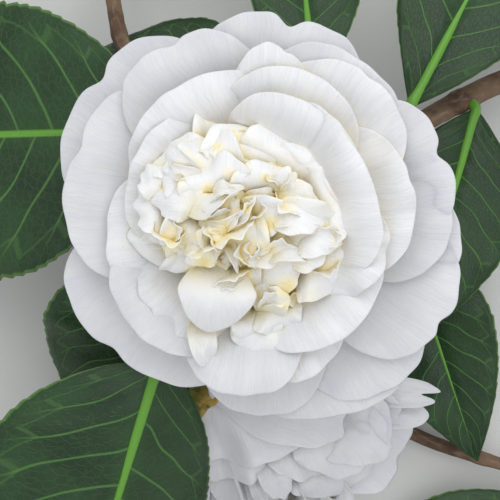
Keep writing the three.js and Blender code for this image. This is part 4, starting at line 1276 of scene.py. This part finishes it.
# Leaves
def blade_sheet(leaf, u, t, phase):
    """A leaf's blade: its saw-toothed outline, folded, waved, and quilted between its veins."""
    teeth = leaf["length"] / RELIEF["tooth"]
    saw = (t * teeth) % 1
    margin = 1 - RELIEF["notch"] * saw * smooth(t / 0.15) * smooth((1 - t) / 0.05) * np.abs(u) ** 6
    half = leaf_half_width(leaf, t) * (1 + leaf["skew"] * u) * margin
    middle, side, face, _ = leaf_frame(leaf, t)
    offset = -u * half
    fold = math.radians(leaf["fold"])
    lift = np.abs(offset) * math.sin(fold) - 0.12 * half * u * u
    wave = np.sin(2 * np.pi * 2.3 * t + phase + 1.3 * np.sign(u))
    wave += 0.5 * np.sin(2 * np.pi * 5.1 * t + 2 * phase - np.sign(u))
    lift += leaf["wave"] * wave * np.abs(u) ** 2 * smooth(t / 0.2)
    veins = t * VEINS["count"] - VEINS["sweep"] * np.abs(u) ** VEINS["bend"] + VEINS["shift"] * (u > 0)
    off_rib = smooth(np.abs(u) / 0.2)
    off_edge = smooth((1 - np.abs(u)) / 0.3)
    lift += RELIEF["quilting"] * np.abs(np.sin(np.pi * veins)) ** 0.7 * off_rib * off_edge * smooth(t / 0.1)
    groove = np.exp(-((offset / RELIEF["groove_width"]) ** 2))
    lift -= RELIEF["groove"] * groove * smooth(t / 0.05) * (1 - 0.6 * t)
    points = middle + side * (offset * math.cos(fold))[:, None] + face * lift[:, None]
    points[:, 2] = settle(points[:, 2], LEAF_THICKNESS / 2 + 0.2)
    return points


def add_leafstalk(leaf):
    """The leafstalk, from inside its limb to the blade's foot and on below the blade."""
    steps = 400
    line = smooth_line(limb_points(LIMBS[leaf["limb"]]), steps)[0]
    points = [tuple(line[int(leaf["place"] * steps)])]
    for place in LEAFSTALK_PLACES:
        point, _, normal, _ = leaf_frame(leaf, np.array([place]))
        points.append(tuple(point[0] - normal[0] * (LEAFSTALK["below"] - LEAFSTALK["nearer"] * place)))

    def radius_at(t):
        return LEAFSTALK["radius"] - LEAFSTALK["lost"] * smooth(t / 0.9)

    stalk = add_tube(points, radius_at, *DETAIL["stalk"])[0]
    write_map(stalk, 0.5, 0.0)
    select_only(stalk)
    bpy.ops.object.shade_smooth()
    return stalk


def add_leaf(name):
    leaf = leaf_of(name)
    sheet, u, v = add_sheet(LEAF_CELLS, int(leaf["length"] * LEAF_CELLS_ALONG))
    u = np.sign(u) * np.abs(u) ** 1.25
    t = (v + 1) / 2
    write_corners(sheet, blade_sheet(leaf, u, t, len(name) * 1.3))
    write_map(sheet, (u + 1) / 2, t)
    thicken(sheet, LEAF_THICKNESS, 0)
    blade = join([sheet, add_leafstalk(leaf)], name + "_blade")
    finish_piece(blade, LEAF, "leaf", name)


# Calyxes
def calyx_form(ring, order):
    count, start, reach, width, foot, tip = ring
    return {
        "azimuth": start + 360 / count * order, "reach": reach, "width": width, "foot": foot, "tip": tip,
        "foot_radius": 0.8, "bow": 0.12, "over": 0, "claw": 0.5, "cup_foot": 0.06, "cup_tip": 0.03,
        "notch": 0, "roll": 0, "side": 0.06, "ruffle": 0.15, "crease": 0.1, "phase": order * 2.0,
    }


def calyx_radius(t):
    return 2.0 + 1.2 * smooth(t * 1.4)


def add_calyx(name, bloom, settle_at=None):
    """Two rings of scales round a short core, which closes the gap between the limb and the petals."""
    scales = []
    for ring in CALYX_RINGS:
        for order in range(ring[0]):
            scale = add_petal(bloom, calyx_form(ring, order), DETAIL["scale"], settle_at, order)
            thicken(scale, SCALE_THICKNESS, 1)
            scales.append(scale)
    axes, foot = bloom_frame(bloom)
    line = [tuple(foot + axes[2] * height) for height in CALYX_CORE]
    core = add_tube(line, calyx_radius, *DETAIL["core"])[0]
    write_map(core, 0.5, 0.3)
    select_only(core)
    bpy.ops.object.shade_smooth_by_angle(angle=SHARP_EDGE)
    finish_piece(join([*scales, core], name + "_scales"), SCALE, "scale", name)


# Blooms
def add_heart(bloom, radius, height):
    """The fleshy middle that the petals stand on, seen only between them."""
    bpy.ops.mesh.primitive_uv_sphere_add(segments=32, ring_count=20, radius=1)
    heart = bpy.context.object
    ball = read_corners(heart)
    axes, foot = bloom_frame(bloom)
    high = (ball[:, 2] + 1) / 2
    wide = radius * (0.18 + 0.82 * smooth(high * 1.6))
    points = np.stack([ball[:, 0] * wide, ball[:, 1] * wide, 1.2 + high * height], 1)
    write_corners(heart, points @ axes + foot)
    # Painted shade and light: the heart is deep cream, partly the bloom's own cream and partly shade painted
    # in the gaps, and takes the middle's painted light
    write_number(heart, "cream_and_painted_shade", CREAM_SHADE_AND_LIGHT["heart"])
    write_number(heart, "middle", 1.0)
    write_map(heart, 0.5, 0.2)
    select_only(heart)
    bpy.ops.object.shade_smooth()
    return heart


def petal_piece(sheets, name, node, thickness=PETAL_THICKNESS):
    for sheet in sheets:
        thicken(sheet, thickness, 1)
    finish_piece(join(sheets, name), PETAL, "petal", node)


# The front bloom
wide = [add_petal(FRONT_BLOOM, front_guard(k), DETAIL["front petal"]) for k in range(len(FRONT_GUARDS))]
inner = [add_petal(FRONT_BLOOM, front_inner(k), DETAIL["front petal"]) for k in range(len(FRONT_INNER))]
straps = [add_strap(row, k, DETAIL["front strap"]) for k, row in enumerate(FRONT_STRAPS)]
frills = [add_frill(row, k) for k, row in enumerate(FRONT_FRILLS)]
forms = petaloids(FRONT_RINGS, FRONT_MIDDLE, FRONT_SEED)
tongues = [add_petal(FRONT_BLOOM, form, DETAIL["tongue"]) for form in forms]
heart = add_heart(FRONT_BLOOM, **HEART)
strengths = [
    *[CREAM_SHADE_AND_LIGHT["wide"]] * len(wide),
    *[CREAM_SHADE_AND_LIGHT["inner"]] * len(inner),
    CREAM_SHADE_AND_LIGHT["lip"],
    *[CREAM_SHADE_AND_LIGHT["petaloid"]] * (len(straps) - 1),
    *[CREAM_SHADE_AND_LIGHT["frill"]] * (len(frills) + len(tongues)),
]
paint_cream_and_shade([*wide, *inner, *straps, *frills, *tongues], FRONT_BLOOM, strengths, [heart], True)
fillers = [*straps[-HIDDEN_STRAPS:], *tongues]
petal_piece(wide, "front_wide_petals", "bloom_front")
petal_piece(inner, "front_inner_petals", "bloom_front")
petal_piece(straps[:-HIDDEN_STRAPS], "front_petaloids", "bloom_front", PETALOID_THICKNESS)
petal_piece(frills, "front_frills", "bloom_front", PETALOID_THICKNESS)
petal_piece(fillers, "front_hidden_petaloids", "bloom_front", PETALOID_THICKNESS)
heart.name = "front_heart"
finish_piece(heart, PETAL, "petal", "bloom_front")

# The second bloom
wide = [
    add_petal(SECOND_BLOOM, form, DETAIL["second petal"], settle_second, k)
    for k, form in enumerate(second_forms())
]
straps = [add_strap(row, k, DETAIL["second strap"], settle_second) for k, row in enumerate(SECOND_STRAPS)]
tufts = [
    add_petal(SECOND_BLOOM, form, DETAIL["tuft"], settle_second, k)
    for k, form in enumerate(petaloids(SECOND_RINGS, (0, 0), SECOND_SEED))
    if not is_hidden_tuft(form)
]
strengths = [CREAM_SHADE_AND_LIGHT["second"]] * (len(wide) + len(straps)) + [CREAM_SHADE_AND_LIGHT["tuft"]] * len(tufts)
paint_cream_and_shade([*wide, *straps, *tufts], SECOND_BLOOM, strengths)
petal_piece([*wide, *straps], "second_wide_petals", "bloom_second")
petal_piece(tufts, "second_petaloids", "bloom_second", PETALOID_THICKNESS)

# Calyxes, limbs and leaves
add_calyx("calyx_front", FRONT_BLOOM)
add_calyx("calyx_second", SECOND_BLOOM, settle_scale)
for name in LIMBS:
    add_limb(name)
for name in LEAVES:
    add_leaf(name)

# Floor, light and camera, in metres
bpy.ops.mesh.primitive_plane_add(size=6)
floor = bpy.context.object
floor.name = "floor"
floor_finish, floor_shader = new_material("floor", 0.9)
floor_shader.inputs["Base Color"].default_value = (*COLOURS["floor"], 1)
floor.data.materials.append(floor_finish)

AIM = Vector((-18, -22, 60)) * MM
LIGHTS = {
    "key": {"place": (0.0, 0.6, 0.9), "size": 0.9, "power": 3.9},
    "fill": {"place": (0.2, -0.15, 1.1), "size": 0.9, "power": 2.5},
}
for name, lamp in LIGHTS.items():
    bpy.ops.object.light_add(type="AREA", location=lamp["place"])
    light = bpy.context.object
    light.name = name
    light.data.size = lamp["size"]
    light.data.energy = lamp["power"]
    light.rotation_euler = (AIM - Vector(lamp["place"])).to_track_quat("-Z", "Y").to_euler()

world = bpy.data.worlds.new("studio")
world.use_nodes = True
world.node_tree.nodes["Background"].inputs["Color"].default_value = (*COLOURS["sky"], 1)
world.node_tree.nodes["Background"].inputs["Strength"].default_value = 0.75
bpy.context.scene.world = world
bpy.context.scene.view_settings.view_transform = "Standard"

eye = Vector((SHIFT[0], SHIFT[1], SHIFT[2] + CAMERA_HEIGHT)) * MM
bpy.ops.object.camera_add(location=eye, rotation=(0, 0, 0))
camera = bpy.context.object
camera.data.lens = LENS
camera.data.clip_start = 0.01
bpy.context.scene.camera = camera
